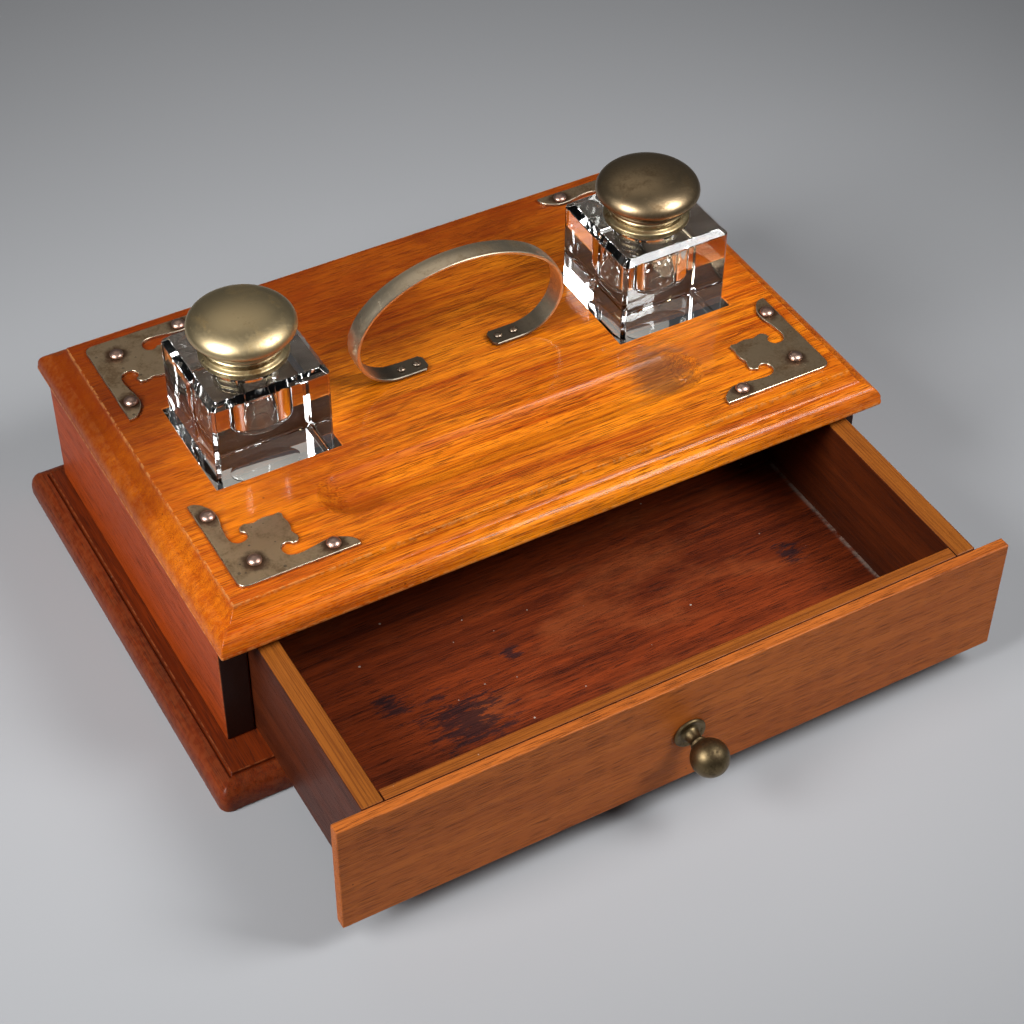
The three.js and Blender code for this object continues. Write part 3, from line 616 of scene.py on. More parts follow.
# %% Finish of the glass
clear_glass, tree, surface, where = begin("clear_glass", Transmission_Weight=1.0, IOR=1.5)
smear = noise(tree, where, (60, 60, 90), 4, 0.65, 0.6)
fine = noise(tree, where, (700, 700, 700), 2, 0.6)
tree.links.new(blend(tree, fade(tree, smear, 0.4, 0.7), rgb(252, 253, 251), rgb(236, 238, 234)),
               surface.inputs["Base Color"])
tree.links.new(fade(tree, smear, 0.5, 0.8, 0.0, 0.05), surface.inputs["Roughness"])
scuffs = fade(tree, noise(tree, where, (900, 300, 2400), 2, 0.5), 0.68, 0.78)
ripples = add(tree, "ShaderNodeBump", {"Height": scale_add(tree, fine, 0.1, scuffs),
                                       "Distance": 0.000004, "Strength": 1.0})
tree.links.new(ripples.outputs[0], surface.inputs["Normal"])
through = add(tree, "ShaderNodeBsdfTransparent", {"Color": (0.86, 0.88, 0.86, 1)})
to_lamp = add(tree, "ShaderNodeLightPath").outputs["Is Shadow Ray"]
mixed = add(tree, "ShaderNodeMixShader", {0: to_lamp, 1: surface.outputs[0], 2: through.outputs[0]})
tree.links.new(mixed.outputs[0], next(n for n in tree.nodes if n.type == "OUTPUT_MATERIAL").inputs[0])

# %% Finish of the paper floor
paper, tree, surface, where = begin("paper", Roughness=0.85)
tree.links.new(blend(tree, noise(tree, where, (2, 2, 2)), rgb(164, 166, 169), rgb(171, 172, 175)),
               surface.inputs["Base Color"])
floor_mesh.materials.append(paper)

# %% [markdown]
# ## How a piece is finished
# Each new piece ends in the same way. Its doubles are merged, its faces are turned outwards, its
# edges are smooth where they turn gently and sharp where they don't, and then it rides on a body of
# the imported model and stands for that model's plain solid.

# %% Helper that turns a shape into a piece
MERGE = 0.00001
CREASE = math.radians(34)


def show(name, shape, body, material, nodes, even=False, crease=CREASE):
    """Makes the object, and with even lets the wide faces decide the shading along their edges."""
    bmesh.ops.remove_doubles(shape, verts=shape.verts, dist=MERGE)
    bmesh.ops.recalc_face_normals(shape, faces=shape.faces)
    for face in shape.faces:
        face.smooth = True
    for edge in shape.edges:
        edge.smooth = edge.calc_face_angle(0.0) < crease
    open_edges = sum(not edge.is_manifold for edge in shape.edges)
    mesh = bpy.data.meshes.new(name)
    shape.to_mesh(mesh)
    shape.free()
    mesh.materials.append(material)
    piece = bpy.data.objects.new(name, mesh)
    scene.collection.objects.link(piece)
    if even:
        shading = piece.modifiers.new("even_shading", "WEIGHTED_NORMAL")
        shading.keep_sharp = True
    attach(piece, body)
    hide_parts(*nodes)
    mesh.calc_loop_triangles()
    print(name, len(mesh.loop_triangles), "triangles,", open_edges, "open edges")
    return piece


# %% Helpers for wear marks and for Boolean cuts
def mark_wear(shape, faces, amount=1.0):
    """Writes the number called wear on the corners of these faces, for the rubbed edges."""
    layer = shape.loops.layers.float.get("wear") or shape.loops.layers.float.new("wear")
    for face in faces:
        for corner in face.loops:
            corner[layer] = amount


def round_edges(shape, edges, width, segments=2, wear=1.0):
    """Bevels edges to a rounded strip and marks the strip as worn."""
    made = bmesh.ops.bevel(shape, geom=list(edges), offset=width, offset_type="OFFSET", segments=segments,
                           profile=0.5, affect="EDGES", clamp_overlap=True, material=-1)
    mark_wear(shape, made["faces"], wear)
    return made["faces"]


def carve(shape, tools, operation="DIFFERENCE"):
    """Cuts the tool shapes away, or joins them on with UNION. The shapes given are used up."""
    def as_object(label, source):
        bmesh.ops.recalc_face_normals(source, faces=source.faces)
        mesh = bpy.data.meshes.new(label)
        source.to_mesh(mesh)
        source.free()
        made = bpy.data.objects.new(label, mesh)
        scene.collection.objects.link(made)
        return made
    work = as_object("work", shape)
    helpers = [as_object("tool", tool) for tool in tools]
    for helper in helpers:
        cut = work.modifiers.new("cut", "BOOLEAN")
        cut.operation = operation
        cut.solver = "EXACT"
        cut.object = helper
    carved = bmesh.new()
    carved.from_object(work, bpy.context.evaluated_depsgraph_get())
    for item in [work, *helpers]:
        mesh = item.data
        bpy.data.objects.remove(item)
        bpy.data.meshes.remove(mesh)
    return carved

def shift(shape, vector):
    bmesh.ops.translate(shape, verts=shape.verts, vec=vector)


def swing(shape, angle, axis):
    """Turns a shape about an axis through the origin."""
    bmesh.ops.rotate(shape, verts=shape.verts, cent=(0, 0, 0), matrix=Matrix.Rotation(angle, 3, axis))


def turned(profile, steps=64, axis="Z", at=(0, 0, 0)):
    """A profile of (radius, height) pairs in millimetres spun into a closed solid of revolution."""
    shape = bmesh.new()
    points = [shape.verts.new((radius * MM, 0, height * MM)) for radius, height in profile]
    edges = [shape.edges.new(pair) for pair in zip(points, points[1:])]
    bmesh.ops.spin(shape, geom=points + edges, cent=(0, 0, 0), axis=(0, 0, 1), angle=math.tau,
                   steps=steps, use_merge=True)
    bmesh.ops.remove_doubles(shape, verts=shape.verts, dist=MERGE)
    if axis != "Z":
        swing(shape, math.radians(90), {"X": "Y", "Y": "X"}[axis])
    shift(shape, at)
    bmesh.ops.recalc_face_normals(shape, faces=shape.faces)
    return shape


def drill(radius, start, end, steps, axis, at):
    """A plain rod between two heights, in millimetres, to cut a hole with."""
    return turned([(0, start), (radius, start), (radius, end), (0, end)], steps, axis, at)


def block(low, high):
    """A plain box between two corners, in metres."""
    low, high = Vector(low), Vector(high)
    shape = bmesh.new()
    bmesh.ops.create_cube(shape, size=1.0)
    bmesh.ops.scale(shape, vec=high - low, verts=shape.verts)
    shift(shape, (low + high) / 2)
    return shape


def centre_of(node):
    """The middle of a node's box."""
    low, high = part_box(node)
    return (low + high) / 2
def arc(centre_r, centre_z, radius_r, radius_z, start, end, steps):
    """Points on part of an ellipse, from one angle to another in degrees."""
    turns = [math.radians(start + (end - start) * i / steps) for i in range(steps + 1)]
    return [(centre_r + radius_r * math.cos(a), centre_z + radius_z * math.sin(a)) for a in turns]

# %% [markdown]
# ## Moulded boards
# The top board and the plinth carry a moulding on all four sides that meets in mitres. A maker runs
# the profile along each edge. In mesh terms that is one flat face extruded upwards again and again,
# with each new ring drawn in or let out by the profile, so the mitres come out by themselves.


# %% Helper: a board with a moulded edge
def moulded(low, high, profile, corner, inner_corner=0.4, steps=5):
    """A board whose profile is a list of (inset, height, wear) in millimetres from the underside up."""
    shape = bmesh.new()
    bmesh.ops.create_grid(shape, x_segments=1, y_segments=1, size=0.5)
    outer = (high - low) / 2
    inset, rise, _ = profile[0]
    bmesh.ops.scale(shape, vec=(2 * (outer.x - inset * MM), 2 * (outer.y - inset * MM), 1), verts=shape.verts)
    radius = max(corner - inset, inner_corner) * MM
    bmesh.ops.bevel(shape, geom=shape.verts[:], offset=radius, offset_type="OFFSET", segments=steps,
                    profile=0.5, affect="VERTICES", material=-1)
    shift(shape, (0, 0, low.z + rise * MM))
    cap = shape.faces[:]
    for step, (next_inset, next_rise, wear) in enumerate(profile[1:]):
        covered = cap
        cap = [item for item in bmesh.ops.extrude_face_region(shape, geom=covered)["geom"]
               if isinstance(item, bmesh.types.BMFace)]
        if step:
            bmesh.ops.delete(shape, geom=covered, context="FACES_ONLY")
        next_radius = max(corner - next_inset, inner_corner) * MM
        for vert in cap[0].verts:
            for axis in (0, 1):
                side = math.copysign(1, vert.co[axis])
                local = abs(vert.co[axis]) - (outer[axis] - inset * MM - radius)
                anchor = outer[axis] - next_inset * MM - next_radius
                vert.co[axis] = side * (anchor + local * next_radius / radius)
            vert.co.z = low.z + next_rise * MM
        around = {face for edge in cap[0].edges for face in edge.link_faces if face is not cap[0]}
        mark_wear(shape, around, wear)
        inset, radius = next_inset, next_radius
    shift(shape, ((low.x + high.x) / 2, (low.y + high.y) / 2, 0))
    bmesh.ops.recalc_face_normals(shape, faces=shape.faces)
    return shape


# %% Plinth board
QUIRK_INSET, PLINTH_DROP = 8.0, 7.5
PLINTH_CORNER = 4.2
FOOT = 1.2
plinth_low, plinth_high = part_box("plinth_board")
plinth_height = (plinth_high.z - plinth_low.z) / MM
shoulder = plinth_height - 1.2
edge_round = [(r, z, 0.25) for r, z in arc(QUIRK_INSET - 1.2, shoulder - PLINTH_DROP, QUIRK_INSET - 1.2,
                                          PLINTH_DROP, 180, 90, 9)]
plinth_profile = [(FOOT, 0, 0), (0.35, 0.35, 0.6), (0, FOOT, 0.8), *edge_round,
                  (QUIRK_INSET - 0.9, shoulder - 0.5, 0.1), (QUIRK_INSET - 0.3, shoulder - 0.7, 0),
                  (QUIRK_INSET, shoulder - 0.3, 0), (QUIRK_INSET, plinth_height - 0.35, 0),
                  (QUIRK_INSET + 0.35, plinth_height, 0.9)]
show("plinth", moulded(plinth_low, plinth_high, plinth_profile, PLINTH_CORNER), "case",
     plinth_wood, ["plinth_board"], even=True)

# %% [markdown]
# The top board's ogee is a small step and a shallow cove above a round ovolo, with a thin nose. After
# the moulding, the square wells and the pen groove are cut. Boolean cuts leave knife edges, and real
# routed edges are softened with sandpaper, so the rims of the wells get a narrow rounded bevel.

# %% Top board: the moulded blank
COVE_WIDTH, COVE_DROP = 4.2, 5.8
OVOLO_WIDTH, OVOLO_DROP = 6.2, 6.8
STEP_BACK, STEP_DROP, HOLLOW = 0.6, 1.6, 0.3
NOSE_UNDER = 1.8
TOP_CORNER = 1.1
arris = MOULD_WIDTH / MM
top_thick = (top_high.z - top_low.z) / MM
ovolo_top = top_thick - COVE_DROP
cove_middle = arris - COVE_WIDTH
ovolo = [(r, z, 0.15) for r, z in arc(cove_middle, ovolo_top - OVOLO_DROP, OVOLO_WIDTH, OVOLO_DROP,
                                      180, 90, 10)]
cove = []
for step in range(1, 11):
    out = step / 10
    fall = math.radians(90 * out)
    cove.append((cove_middle + (COVE_WIDTH - STEP_BACK) * (out + HOLLOW * (math.sin(fall) - out)),
                 ovolo_top + (COVE_DROP - STEP_DROP) * (out + HOLLOW * (1 - math.cos(fall) - out)), 0.0))
top_profile = [(1.6, 0, 0), (0.8, 0.3, 0.2), (0.2, NOSE_UNDER * 0.55, 0.8), (0, NOSE_UNDER, 1.0),
               (0.14, NOSE_UNDER + 0.8, 0.8), *ovolo[:-1], *cove,
               (arris - 0.35, top_thick - STEP_DROP + 0.4, 0), (arris - 0.1, top_thick - 0.5, 0.5),
               (arris + 0.08, top_thick - 0.12, 1.0), (arris + 0.5, top_thick, 1.0)]
top_shape = moulded(top_low, top_high, top_profile, TOP_CORNER, steps=3)

# %% Top board: wells and pen groove
WELL_CLEARANCE = Vector((1.8, 1.8, 0)) * MM
PLATE_CLEARANCE = Vector((0.2, 0.2, 0)) * MM
ABOVE = Vector((0, 0, 3)) * MM
RIM_BEVEL = 0.6 * MM
cutters = []
for side in ("left", "right"):
    glass_low, glass_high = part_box("inkwell_glass_" + side)
    plate_low, plate_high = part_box("well_floor_" + side)
    for low, high, slack, ceiling in ((glass_low, glass_high, WELL_CLEARANCE, top_high.z + ABOVE.z),
                                      (plate_low, plate_high, PLATE_CLEARANCE, glass_low.z)):
        start, end = low - slack, high + slack
        cutters.append(block((start.x, start.y, top_low.z - ABOVE.z), (end.x, end.y, ceiling)))
groove_half = GROOVE_WIDTH / 2
groove_profile = []
for step in range(19):
    out = step / 18
    groove_profile.append((groove_half * 0.93 * out, -GROOVE_DEPTH * (1 - 0.92 * out ** 1.75)))
groove_profile += [(groove_half * 0.965, -0.23), (groove_half, -0.11), (groove_half * 1.04, -0.035),
                   (groove_half * 1.08, 0.0), (groove_half * 1.5, 0.35), (0, 0.35)]
groove = turned(groove_profile, 48)
half_straight = (GROOVE_LENGTH - GROOVE_WIDTH) / 2 * MM
swing(groove, GROOVE_LEAN, "Z")
for vert in groove.verts:
    if abs(vert.co.x) > MERGE / 10:
        vert.co.x += math.copysign(half_straight, vert.co.x)
shift(groove, ((top_low.x + top_high.x) / 2, -GROOVE_FORWARD * MM, top_high.z))
top_shape = carve(top_shape, [*cutters, groove])
well_rims = [edge for edge in top_shape.edges
             if all(abs(vert.co.z - top_high.z) < MERGE for vert in edge.verts)
             and any(abs(face.normal.z) < 0.1 for face in edge.link_faces)]
round_edges(top_shape, well_rims, RIM_BEVEL, 2, 0.7)
show("moulded_top", top_shape, "case", top_wood, ["top_board"], even=True)

# %% [markdown]
# ## Plain boards
# A planed board is a box with its edges just broken by sandpaper. The strip that the bevel makes is
# where the stain wears off first, so it carries the wear mark.


# %% Helper: a planed board in the place of a node
def planed(name, node, body, material, width=0.7, cuts=()):
    """A board with rounded edges in a node's box, with grooves or holes cut where they are given."""
    shape = block(*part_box(node))
    round_edges(shape, shape.edges[:], width * MM, 3)
    if cuts:
        shape = carve(shape, list(cuts))
    return show(name, shape, body, material, [node], even=True)


# %% Case boards and the wells' floors
for side in ("left", "right"):
    planed(side + "_case_side", "case_" + side + "_side", "case", case_wood, 0.8)
planed("rear_case_board", "case_back", "case", rear_wood)
for side in ("left", "right"):
    planed("floor_plate_" + side, "well_floor_" + side, "case", floor_wood, 0.3)

# %% [markdown]
# ## Drawer
# The drawer is a false front on a box of four thinner boards round a bottom panel. The panel's edges
# sit in a groove all round. The groove is cut here too, because it shows when the drawer is seen
# from below or behind.

# %% Drawer boards
PANEL_SLACK = Vector((0.3, 0.3, 0.3)) * MM
KNOB_HOLE = 1.9
knob_centre = centre_of("drawer_knob")
front_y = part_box("drawer_front")[0].y
knob_at = (knob_centre.x, front_y, knob_centre.z)


def panel_groove():
    return block(bottom_low - PANEL_SLACK, bottom_high + PANEL_SLACK)


def screw_hole():
    return drill(KNOB_HOLE, -25, 25, 24, "Y", knob_at)


planed("false_front", "drawer_front", "drawer", front_wood, 0.55, [screw_hole()])
planed("inner_front", "drawer_inner_front", "drawer", inner_front_wood, 0.5,
       [panel_groove(), screw_hole()])
for side in ("left", "right"):
    planed(side + "_drawer_side", "drawer_" + side + "_side", "drawer", edge_wood, 0.9,
           [panel_groove()])
planed("rear_drawer_board", "drawer_back", "drawer", inner_front_wood, 0.7, [panel_groove()])
planed("bottom_panel", "drawer_bottom", "drawer", bottom_wood, 0.3)
# %% [markdown]
# The knob is turned brass: a dished flange against the wood, a flared neck and a ball. A solid of
# revolution is one profile spun about its axis, and small steps in the profile make the turned rings.

# %% Knob and its screw
FLANGE, NECK, BALL = 6.9, 2.85, 7.65
KNOB_REACH = 14.7
KNOB_SEAT = 0.2
neck_angle = math.degrees(math.acos(NECK / BALL))
knob_profile = [(0, KNOB_SEAT), (FLANGE - 0.3, KNOB_SEAT), (FLANGE, KNOB_SEAT + 0.3), (FLANGE, 0.95),
                (FLANGE - 0.35, 1.45), (FLANGE - 0.9, 1.6), (FLANGE - 1.5, 1.5), (FLANGE - 2.1, 1.2),
                (NECK + 1.3, 1.25), (NECK + 0.75, 1.6), (NECK + 0.35, 2.3), (NECK + 0.05, 3.4),
                (NECK - 0.15, 4.6), (NECK - 0.1, 5.6), (NECK + 0.35, 6.2), (NECK + 0.5, 6.7),
                (NECK + 0.35, 7.1), *arc(0, KNOB_REACH, BALL, BALL, -neck_angle + 2, 90, 28)]
knob_shape = turned(knob_profile, 72, "Y", knob_at)
show("turned_knob", carve(knob_shape, [drill(KNOB_HOLE, -2, 9.3, 24, "Y", knob_at)]), "drawer",
     knob_brass, ["drawer_knob"])

SCREW_SLOT = Vector((0.4, 0, 6)) * MM
seat = (front_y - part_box("drawer_inner_front")[1].y) / MM - 0.2
knob_screw = turned([(0, seat - 2.2), (1.9, seat - 2.15), (3.0, seat - 1.6), (3.6, seat - 0.8), (3.8, seat),
                     (1.6, seat), (1.6, 9.0), (0, 9.0)], 40, "Y", knob_at)
head = Vector((knob_centre.x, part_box("drawer_knob_screw")[1].y, knob_centre.z))
slot = block(head - SCREW_SLOT - Vector((0, 0.9, 0)) * MM, head + SCREW_SLOT + Vector((0, 2, 0)) * MM)
show("knob_screw", carve(knob_screw, [slot]), "drawer", screw_metal, ["drawer_knob_screw"])

# %% [markdown]
# ## Corner straps
# Each strap is cut from sheet with a saw and filed: two arms with pointed tips, a round notch on
# each side, and a scalloped tongue towards the middle. One arm is drawn as a row of curves and the
# other is its mirror image. The outline becomes one face, which is extruded and bevelled.

# %% Outline of one strap arm
TIP = (50.2, 0)
ARM_CURVES = [((51, 4), (46, 6.6)), ((43, 9), (37, 8)), ((30.4, 6.6), (27.4, 6.6)),
              ((22.4, 6.6), (22.2, 10.6)), ((22.4, 13.8), (25.2, 14.1)),
              ((27, 14), (27.6, 12.4)), ((31, 12.4), (30.9, 15.6)),
              ((29.8, 19), (29.8, 19)), ((31.6, 22.5), (30.2, 27)), ((30.6, 29.6), (30.6, 29.6))]
CORNER_ROUND = 4.2
CURVE_STEPS = 5


def curve(start, control, end, steps):
    """Points on one bend from start to end, without its start."""
    made = []
    for i in range(1, steps + 1):
        t = i / steps
        made.append(tuple((1 - t) ** 2 * a + 2 * t * (1 - t) * b + t * t * c
                          for a, b, c in zip(start, control, end)))
    return made


def strap_outline():
    """The whole outline as (along, in) points in millimetres, anticlockwise from the corner."""
    arm = [TIP]
    for control, end in ARM_CURVES:
        arm += curve(arm[-1], control, end, 1 if control == end else CURVE_STEPS)
    other = [(inward, along) for along, inward in reversed(arm)]
    corner = curve((0, CORNER_ROUND), (0, 0), (CORNER_ROUND, 0), 7)[:-1]
    return [(CORNER_ROUND, 0), *arm, *other, (0, CORNER_ROUND), *corner]


# %% Straps and their nails
NAILS = {"corner": (10.6, 10.6), "side": (40.8, 4.6), "end": (4.6, 40.8)}
STRAP_THICK, STRAP_BEVEL, NAIL_HOLE = 1.2, 0.42, 1.1
corners = {"front_left": (-1, -1), "front_right": (1, -1), "rear_left": (-1, 1), "rear_right": (1, 1)}
for corner, (sx, sy) in corners.items():
    strap_low, strap_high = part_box("strap_" + corner)
    corner_x = strap_low.x if sx < 0 else strap_high.x
    corner_y = strap_low.y if sy < 0 else strap_high.y

    def on_strap(point):
        """A place on the strap's underside, from the millimetres along it and in from its edge."""
        return Vector((corner_x - sx * point[0] * MM, corner_y - sy * point[1] * MM, strap_low.z))

    strap = bmesh.new()
    plate = [strap.faces.new([strap.verts.new(on_strap(point)) for point in strap_outline()])]
    lifted = bmesh.ops.extrude_face_region(strap, geom=plate)["geom"]
    upper = [item for item in lifted if isinstance(item, bmesh.types.BMVert)]
    bmesh.ops.translate(strap, verts=upper, vec=(0, 0, STRAP_THICK * MM))
    bmesh.ops.recalc_face_normals(strap, faces=strap.faces)
    rim = [edge for edge in strap.edges if all(vert.co.z > strap_low.z + MM for vert in edge.verts)]
    round_edges(strap, rim, STRAP_BEVEL * MM, 3, 0.9)
    holes = [drill(NAIL_HOLE, -1, 3, 16, "Z", on_strap(point)) for point in NAILS.values()]
    show("corner_strap_" + corner, carve(strap, holes), "case", strap_nickel,
         ["strap_" + corner], even=True)
    for count, nail in enumerate(NAILS):
        nail_low, nail_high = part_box("nail_" + corner + "_" + nail)
        middle = (nail_low + nail_high) / 2
        head = (nail_high.x - nail_low.x) / 2 / MM
        rise = 2.1 + 0.12 * math.sin(7 * count + 3 * sx + sy)
        crown = arc(0, 0.25, head, rise - 0.25, 0, 90, 10)
        nail_shape = turned([(0, -6.8), (0.8, -6.2), (0.8, 0), (head - 0.2, 0), *crown], 40, "Z",
                            (middle.x, middle.y, nail_high.z - 2.1 * MM))
        show("dome_nail_" + corner + "_" + nail, nail_shape, "case", nail_metal,
             ["nail_" + corner + "_" + nail])

# %% [markdown]
# ## Handle
# The handle is one strap of metal bent into an arch whose ends curl in to two flat feet. Its outside
# is slightly crowned and its feet end in clipped points. It is a sweep: a closed ring of points, the
# strap's section, extruded from station to station along the bent line.

# %% Bent line of the handle
handle_low, handle_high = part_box("handle_strap")
HANDLE_SPAN, HANDLE_CURL, HANDLE_FOOT = 48.3, 20.5, 15.2
HANDLE_WIDTH, HANDLE_THICK = 9.2, 1.8
handle_middle = (handle_low + handle_high) / 2
handle_rise = (handle_high.z - handle_low.z) / MM - HANDLE_CURL
half_thick = HANDLE_THICK / 2
arch = arc(0, HANDLE_CURL, HANDLE_SPAN - half_thick, handle_rise - half_thick, 90, 0, 30)
curl = arc(HANDLE_SPAN - HANDLE_CURL, HANDLE_CURL, HANDLE_CURL - half_thick, HANDLE_CURL - half_thick,
           0, -90, 16)[1:]
foot = [(HANDLE_SPAN - HANDLE_CURL - step, half_thick) for step in (3, 6, 9, 10.6)]
foot += [(HANDLE_FOOT + 1.6, half_thick), (HANDLE_FOOT + 0.5, half_thick), (HANDLE_FOOT, half_thick)]
half_line = [*arch, *curl, *foot]
bent_line = [(-x, z) for x, z in reversed(half_line[1:])] + half_line
half_widths = [1.0] * (len(half_line) - 3) + [1.0, 0.74, 0.6]
line_widths = list(reversed(half_widths[1:])) + half_widths

# %% Sweep the handle's section along the line
HALF_WIDTH, EDGE_HIGH, CROWN = HANDLE_WIDTH / 2, 0.55, 0.45
section = [(-HALF_WIDTH, -EDGE_HIGH), (-4.3, -half_thick), (4.3, -half_thick), (HALF_WIDTH, -EDGE_HIGH),
           (HALF_WIDTH, 0.2), (4.35, EDGE_HIGH)]
section += [(v, half_thick - CROWN * (v / HALF_WIDTH) ** 2) for v in (3.9, 2.6, 1.3, 0, -1.3, -2.6, -3.9)]
section += [(-4.35, EDGE_HIGH), (-HALF_WIDTH, 0.2)]
handle = bmesh.new()
ring = None
for index, (x, z) in enumerate(bent_line):
    before = Vector(bent_line[max(index - 1, 0)])
    after = Vector(bent_line[min(index + 1, len(bent_line) - 1)])
    along = (after - before).normalized()
    outward = Vector((-along.y, along.x))
    places = [Vector((handle_middle.x + (x + outward.x * high) * MM,
                      handle_middle.y + across * line_widths[index] * MM,
                      handle_low.z + (z + outward.y * high) * MM)) for across, high in section]
    if ring is None:
        ring = [handle.verts.new(point) for point in places]
        edges = [handle.edges.new((ring[i], ring[i - 1])) for i in range(len(ring))]
    else:
        grown = bmesh.ops.extrude_edge_only(handle, edges=edges)["geom"]
        new_verts = [item for item in grown if isinstance(item, bmesh.types.BMVert)]
        edges = [item for item in grown if isinstance(item, bmesh.types.BMEdge)
                 and item.verts[0] in new_verts and item.verts[1] in new_verts]
        follow = []
        for vert in ring:
            follow.append(next(edge.other_vert(vert) for edge in vert.link_edges
                               if edge.other_vert(vert) in new_verts))
        for vert, point in zip(follow, places):
            vert.co = point
        ring = follow
bmesh.ops.holes_fill(handle, edges=[edge for edge in handle.edges if edge.is_boundary], sides=40)
bmesh.ops.recalc_face_normals(handle, faces=handle.faces)
arrises = [face for face in handle.faces
           if any(abs(abs(vert.co.y - handle_middle.y) - HALF_WIDTH * MM) < 2e-4 for vert in face.verts)]
mark_wear(handle, arrises, 0.8)
FOOT_SCREWS, SCREW_HOLE = (-26.4, -19.2, 19.2, 26.4), 1.15
foot_holes = [drill(SCREW_HOLE, -1, 4, 16, "Z",
                    (handle_middle.x + place_x * MM, handle_middle.y, handle_low.z))
              for place_x in FOOT_SCREWS]
show("bent_handle", carve(handle, foot_holes), "case", handle_metal, ["handle_strap"])

# %% Screws in the handle's feet
HEAD_HIGH = 1.0
SLOT_TURN = 0.9
for number in (1, 2, 3, 4):
    low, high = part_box("handle_screw_" + str(number))
    seat_at = ((low.x + high.x) / 2, (low.y + high.y) / 2, high.z - HEAD_HIGH * MM)
    crown = arc(0, 0.1, 1.8, 0.9, 0, 90, 6)
    screw = turned([(0, -8), (0.9, -7.2), (0.9, 0), (1.7, 0), *crown], 32, "Z", seat_at)
    slot = block((-0.0025, -0.00022, 0.00045), (0.0025, 0.00022, 0.002))
    swing(slot, SLOT_TURN * number, "Z")
    shift(slot, seat_at)
    show("foot_screw_" + str(number), carve(screw, [slot]), "case", screw_metal,
         ["handle_screw_" + str(number)])

# %% [markdown]
# ## Inkwells
# A well is a cube of thick glass with ground bevels, and the ink sits in a round cavity in the
# middle. The grinder leaves each bevel flat with a hair of roundness where it meets the face, and
# that hair is what catches the light, so the bevelled block gets a second, very small bevel.

# %% Helper: one glass well
GLASS_CREASE = math.radians(8)
TOP_BEVEL, EDGE_BEVEL = 2.6, 1.5
GROUND_BEVEL = 0.28
INK_RADIUS, INK_DEPTH, INK_ROUND, MOUTH_RADIUS, MOUTH_HEIGHT = 13.5, 31.0, 7.0, 12.2, 7.0


def glass_well(side):
    low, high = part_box("inkwell_glass_" + side)
    tall = (high.z - low.z) / MM
    middle = (low + high) / 2
    shape = moulded(low, high, [(EDGE_BEVEL, 0, 0), (0, EDGE_BEVEL, 0), (0, tall - TOP_BEVEL, 0),
                                (TOP_BEVEL, tall, 0)], EDGE_BEVEL, EDGE_BEVEL, 1)
    round_edges(shape, shape.edges[:], GROUND_BEVEL * MM, 2, 0)
    mouth = tall - MOUTH_HEIGHT
    cavity = [*arc(0, tall - INK_DEPTH + INK_ROUND, INK_RADIUS, INK_ROUND, -90, 0, 26),
              (INK_RADIUS, mouth - 2.5), (INK_RADIUS - 0.3, mouth - 1.2), (MOUTH_RADIUS + 0.2, mouth),
              (MOUTH_RADIUS, mouth + 0.8), (MOUTH_RADIUS, tall + 2), (0, tall + 2)]
    hollow = turned(cavity, 96, "Z", (middle.x, middle.y, low.z))
    dish = turned([(0, -2), (15.4, -2), (15.0, 0.25), (13.0, 0.5), (0, 0.8)], 72, "Z",
                  (middle.x, middle.y, low.z))
    return carve(shape, [hollow, dish])


for side in ("left", "right"):
    show("glass_well_" + side, glass_well(side), "inkwell_" + side, clear_glass,
         ["inkwell_glass_" + side], crease=GLASS_CREASE)

# %% [markdown]
# The collar is a turned ring cemented on the glass, and the lid is a spun dome with a hollow neck
# below its rim and a rough bead where it meets the collar. Both carry knuckles of a small hinge at
# the rear, which are joined on with Boolean unions so that each piece stays one closed solid.

# %% Helpers for the collar, the lid and the hinge
KNUCKLE, PIN, PIN_SLACK = 2.0, 0.8, 0.3


def knuckle(middle, pin_at, from_x, to_x, web_low, web_high, web_in):
    """A hinge barrel and the web that ties it to its ring, as two tool shapes."""
    barrel = turned([(0, from_x), (KNUCKLE - 0.25, from_x), (KNUCKLE, from_x + 0.25), (KNUCKLE, to_x - 0.25),
                     (KNUCKLE - 0.25, to_x), (0, to_x)], 32, "X", pin_at)
    web = block((middle.x + from_x * MM, middle.y + web_in * MM, web_low),
                (middle.x + to_x * MM, pin_at.y, web_high))
    return [barrel, web]


def join_and_bore(shape, parts, pin_at):
    """Joins the hinge's barrels and webs to a ring, then drills the hole for the pin."""
    for piece in parts:
        shape = carve(shape, [piece], "UNION")
    return carve(shape, [drill(PIN + PIN_SLACK, -12, 12, 24, "X", pin_at)])
def dome(radius, low, rise, start, end, steps, fullness=2.12):
    """A dome's outline that is a little rounder at the rim than an ellipse."""
    made = []
    for i in range(steps + 1):
        turn_angle = math.radians(start + (end - start) * i / steps)
        made.append((radius * abs(math.cos(turn_angle)) ** (2 / fullness),
                     low + rise * abs(math.sin(turn_angle)) ** (2 / fullness)))
    return made

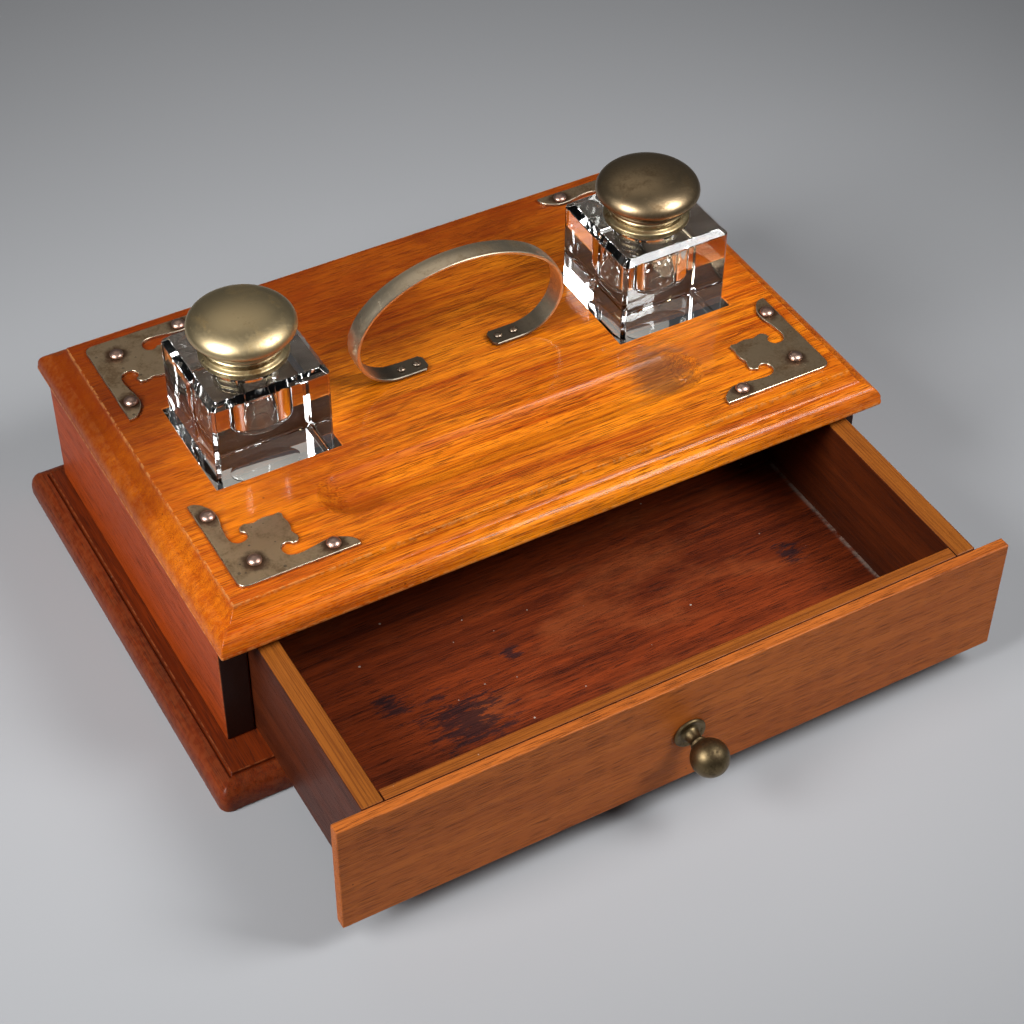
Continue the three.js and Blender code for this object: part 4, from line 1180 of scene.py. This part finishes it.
# %% Collars, lids, liners and hinge pins
COLLAR_PROFILE = [(12.2, 0), (17.7, 0), (18, 0.25), (18, 2.1), (17.8, 2.45), (17.3, 2.75), (16.7, 3.0),
                  (16.2, 3.4), (16.1, 3.8), (16.5, 4.2), (16.6, 4.6), (16.6, 5.9), (16.3, 6.3), (12.6, 6.3),
                  (12.2, 5.9), (12.2, 0)]
COLLAR_HIGH, LID_LIFT = 6.3, 6.7
NECK_PROFILE = [(19.4, 5.7), (14.6, 5.6), (14.6, 0.2), (14.9, 0), (16.6, 0), (16.95, 0.3), (16.95, 1.0),
                (16.7, 1.45), (16.0, 1.7), (15.9, 1.95), (16.5, 2.15), (16.75, 2.5), (16.6, 2.9),
                (16.0, 3.15), (15.7, 3.5), (15.9, 3.95), (17.2, 4.3), (19.0, 4.6), (20.3, 4.95),
                (21.15, 5.4), (21.6, 5.9)]
DOME_OUT, DOME_IN, DOME_LOW, HOLLOW_LOW, DOME_THICK = 21.8, 20.5, 6.5, 6.3, 1.3
LINER_PROFILE = [(0, 0), (13.6, 0), (14.1, 0.2), (14.3, 0.6), (14.3, 1.3), (14.0, 1.6), (0, 1.6)]
COLLAR_KNUCKLES, LID_KNUCKLE = [(-6.4, -2.8), (2.8, 6.4)], (-2.5, 2.5)
COLLAR_WEB, LID_WEB = 14.6, 15.3
# The right lid's darker metal is painted shade.
for side, lid_finish in (("left", lid_metal), ("right", painted_shade_lid_metal)):
    well_body, lid_body = "inkwell_" + side, "lid_" + side
    middle = centre_of("inkwell_glass_" + side)
    pin_low, pin_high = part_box("lid_hinge_pin_" + side)
    pin_at = Vector((middle.x, (pin_low.y + pin_high.y) / 2, (pin_low.z + pin_high.z) / 2))
    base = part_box("inkwell_collar_" + side)[0].z
    collar_parts = []
    for start, end in COLLAR_KNUCKLES:
        collar_parts += knuckle(middle, pin_at, start, end, pin_at.z - KNUCKLE * MM, base + COLLAR_HIGH * MM,
                                COLLAR_WEB)
    collar = join_and_bore(turned(COLLAR_PROFILE, 96, "Z", (middle.x, middle.y, base)), collar_parts, pin_at)
    show("brass_collar_" + side, collar, well_body, collar_metal, ["inkwell_collar_" + side])

    lid_base = base + LID_LIFT * MM
    lid_tall = (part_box("inkwell_lid_" + side)[1].z - lid_base) / MM
    outside = dome(DOME_OUT, DOME_LOW, lid_tall - DOME_LOW, 0, 90, 34)
    hollow = dome(DOME_IN, HOLLOW_LOW, lid_tall - HOLLOW_LOW - DOME_THICK, 90, 10, 22)
    lid = turned([*hollow, *NECK_PROFILE, *outside], 120, "Z", (middle.x, middle.y, lid_base))
    lid_parts = knuckle(middle, pin_at, *LID_KNUCKLE, lid_base, pin_at.z + KNUCKLE * MM, LID_WEB)
    show("domed_lid_" + side, join_and_bore(lid, lid_parts, pin_at), lid_body, lid_finish,
         ["inkwell_lid_" + side])

    liner = turned(LINER_PROFILE, 72, "Z", (middle.x, middle.y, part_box("lid_liner_" + side)[0].z))
    show("brass_liner_" + side, liner, lid_body, liner_brass, ["lid_liner_" + side])
    half = (pin_high.x - pin_low.x) / 2 / MM
    pin = turned([(0, -half), (0.6, -half), (PIN, 0.2 - half), (PIN, half - 0.2), (0.6, half), (0, half)],
                 24, "X", pin_at)
    show("hinge_pin_" + side, pin, well_body, screw_metal, ["lid_hinge_pin_" + side])
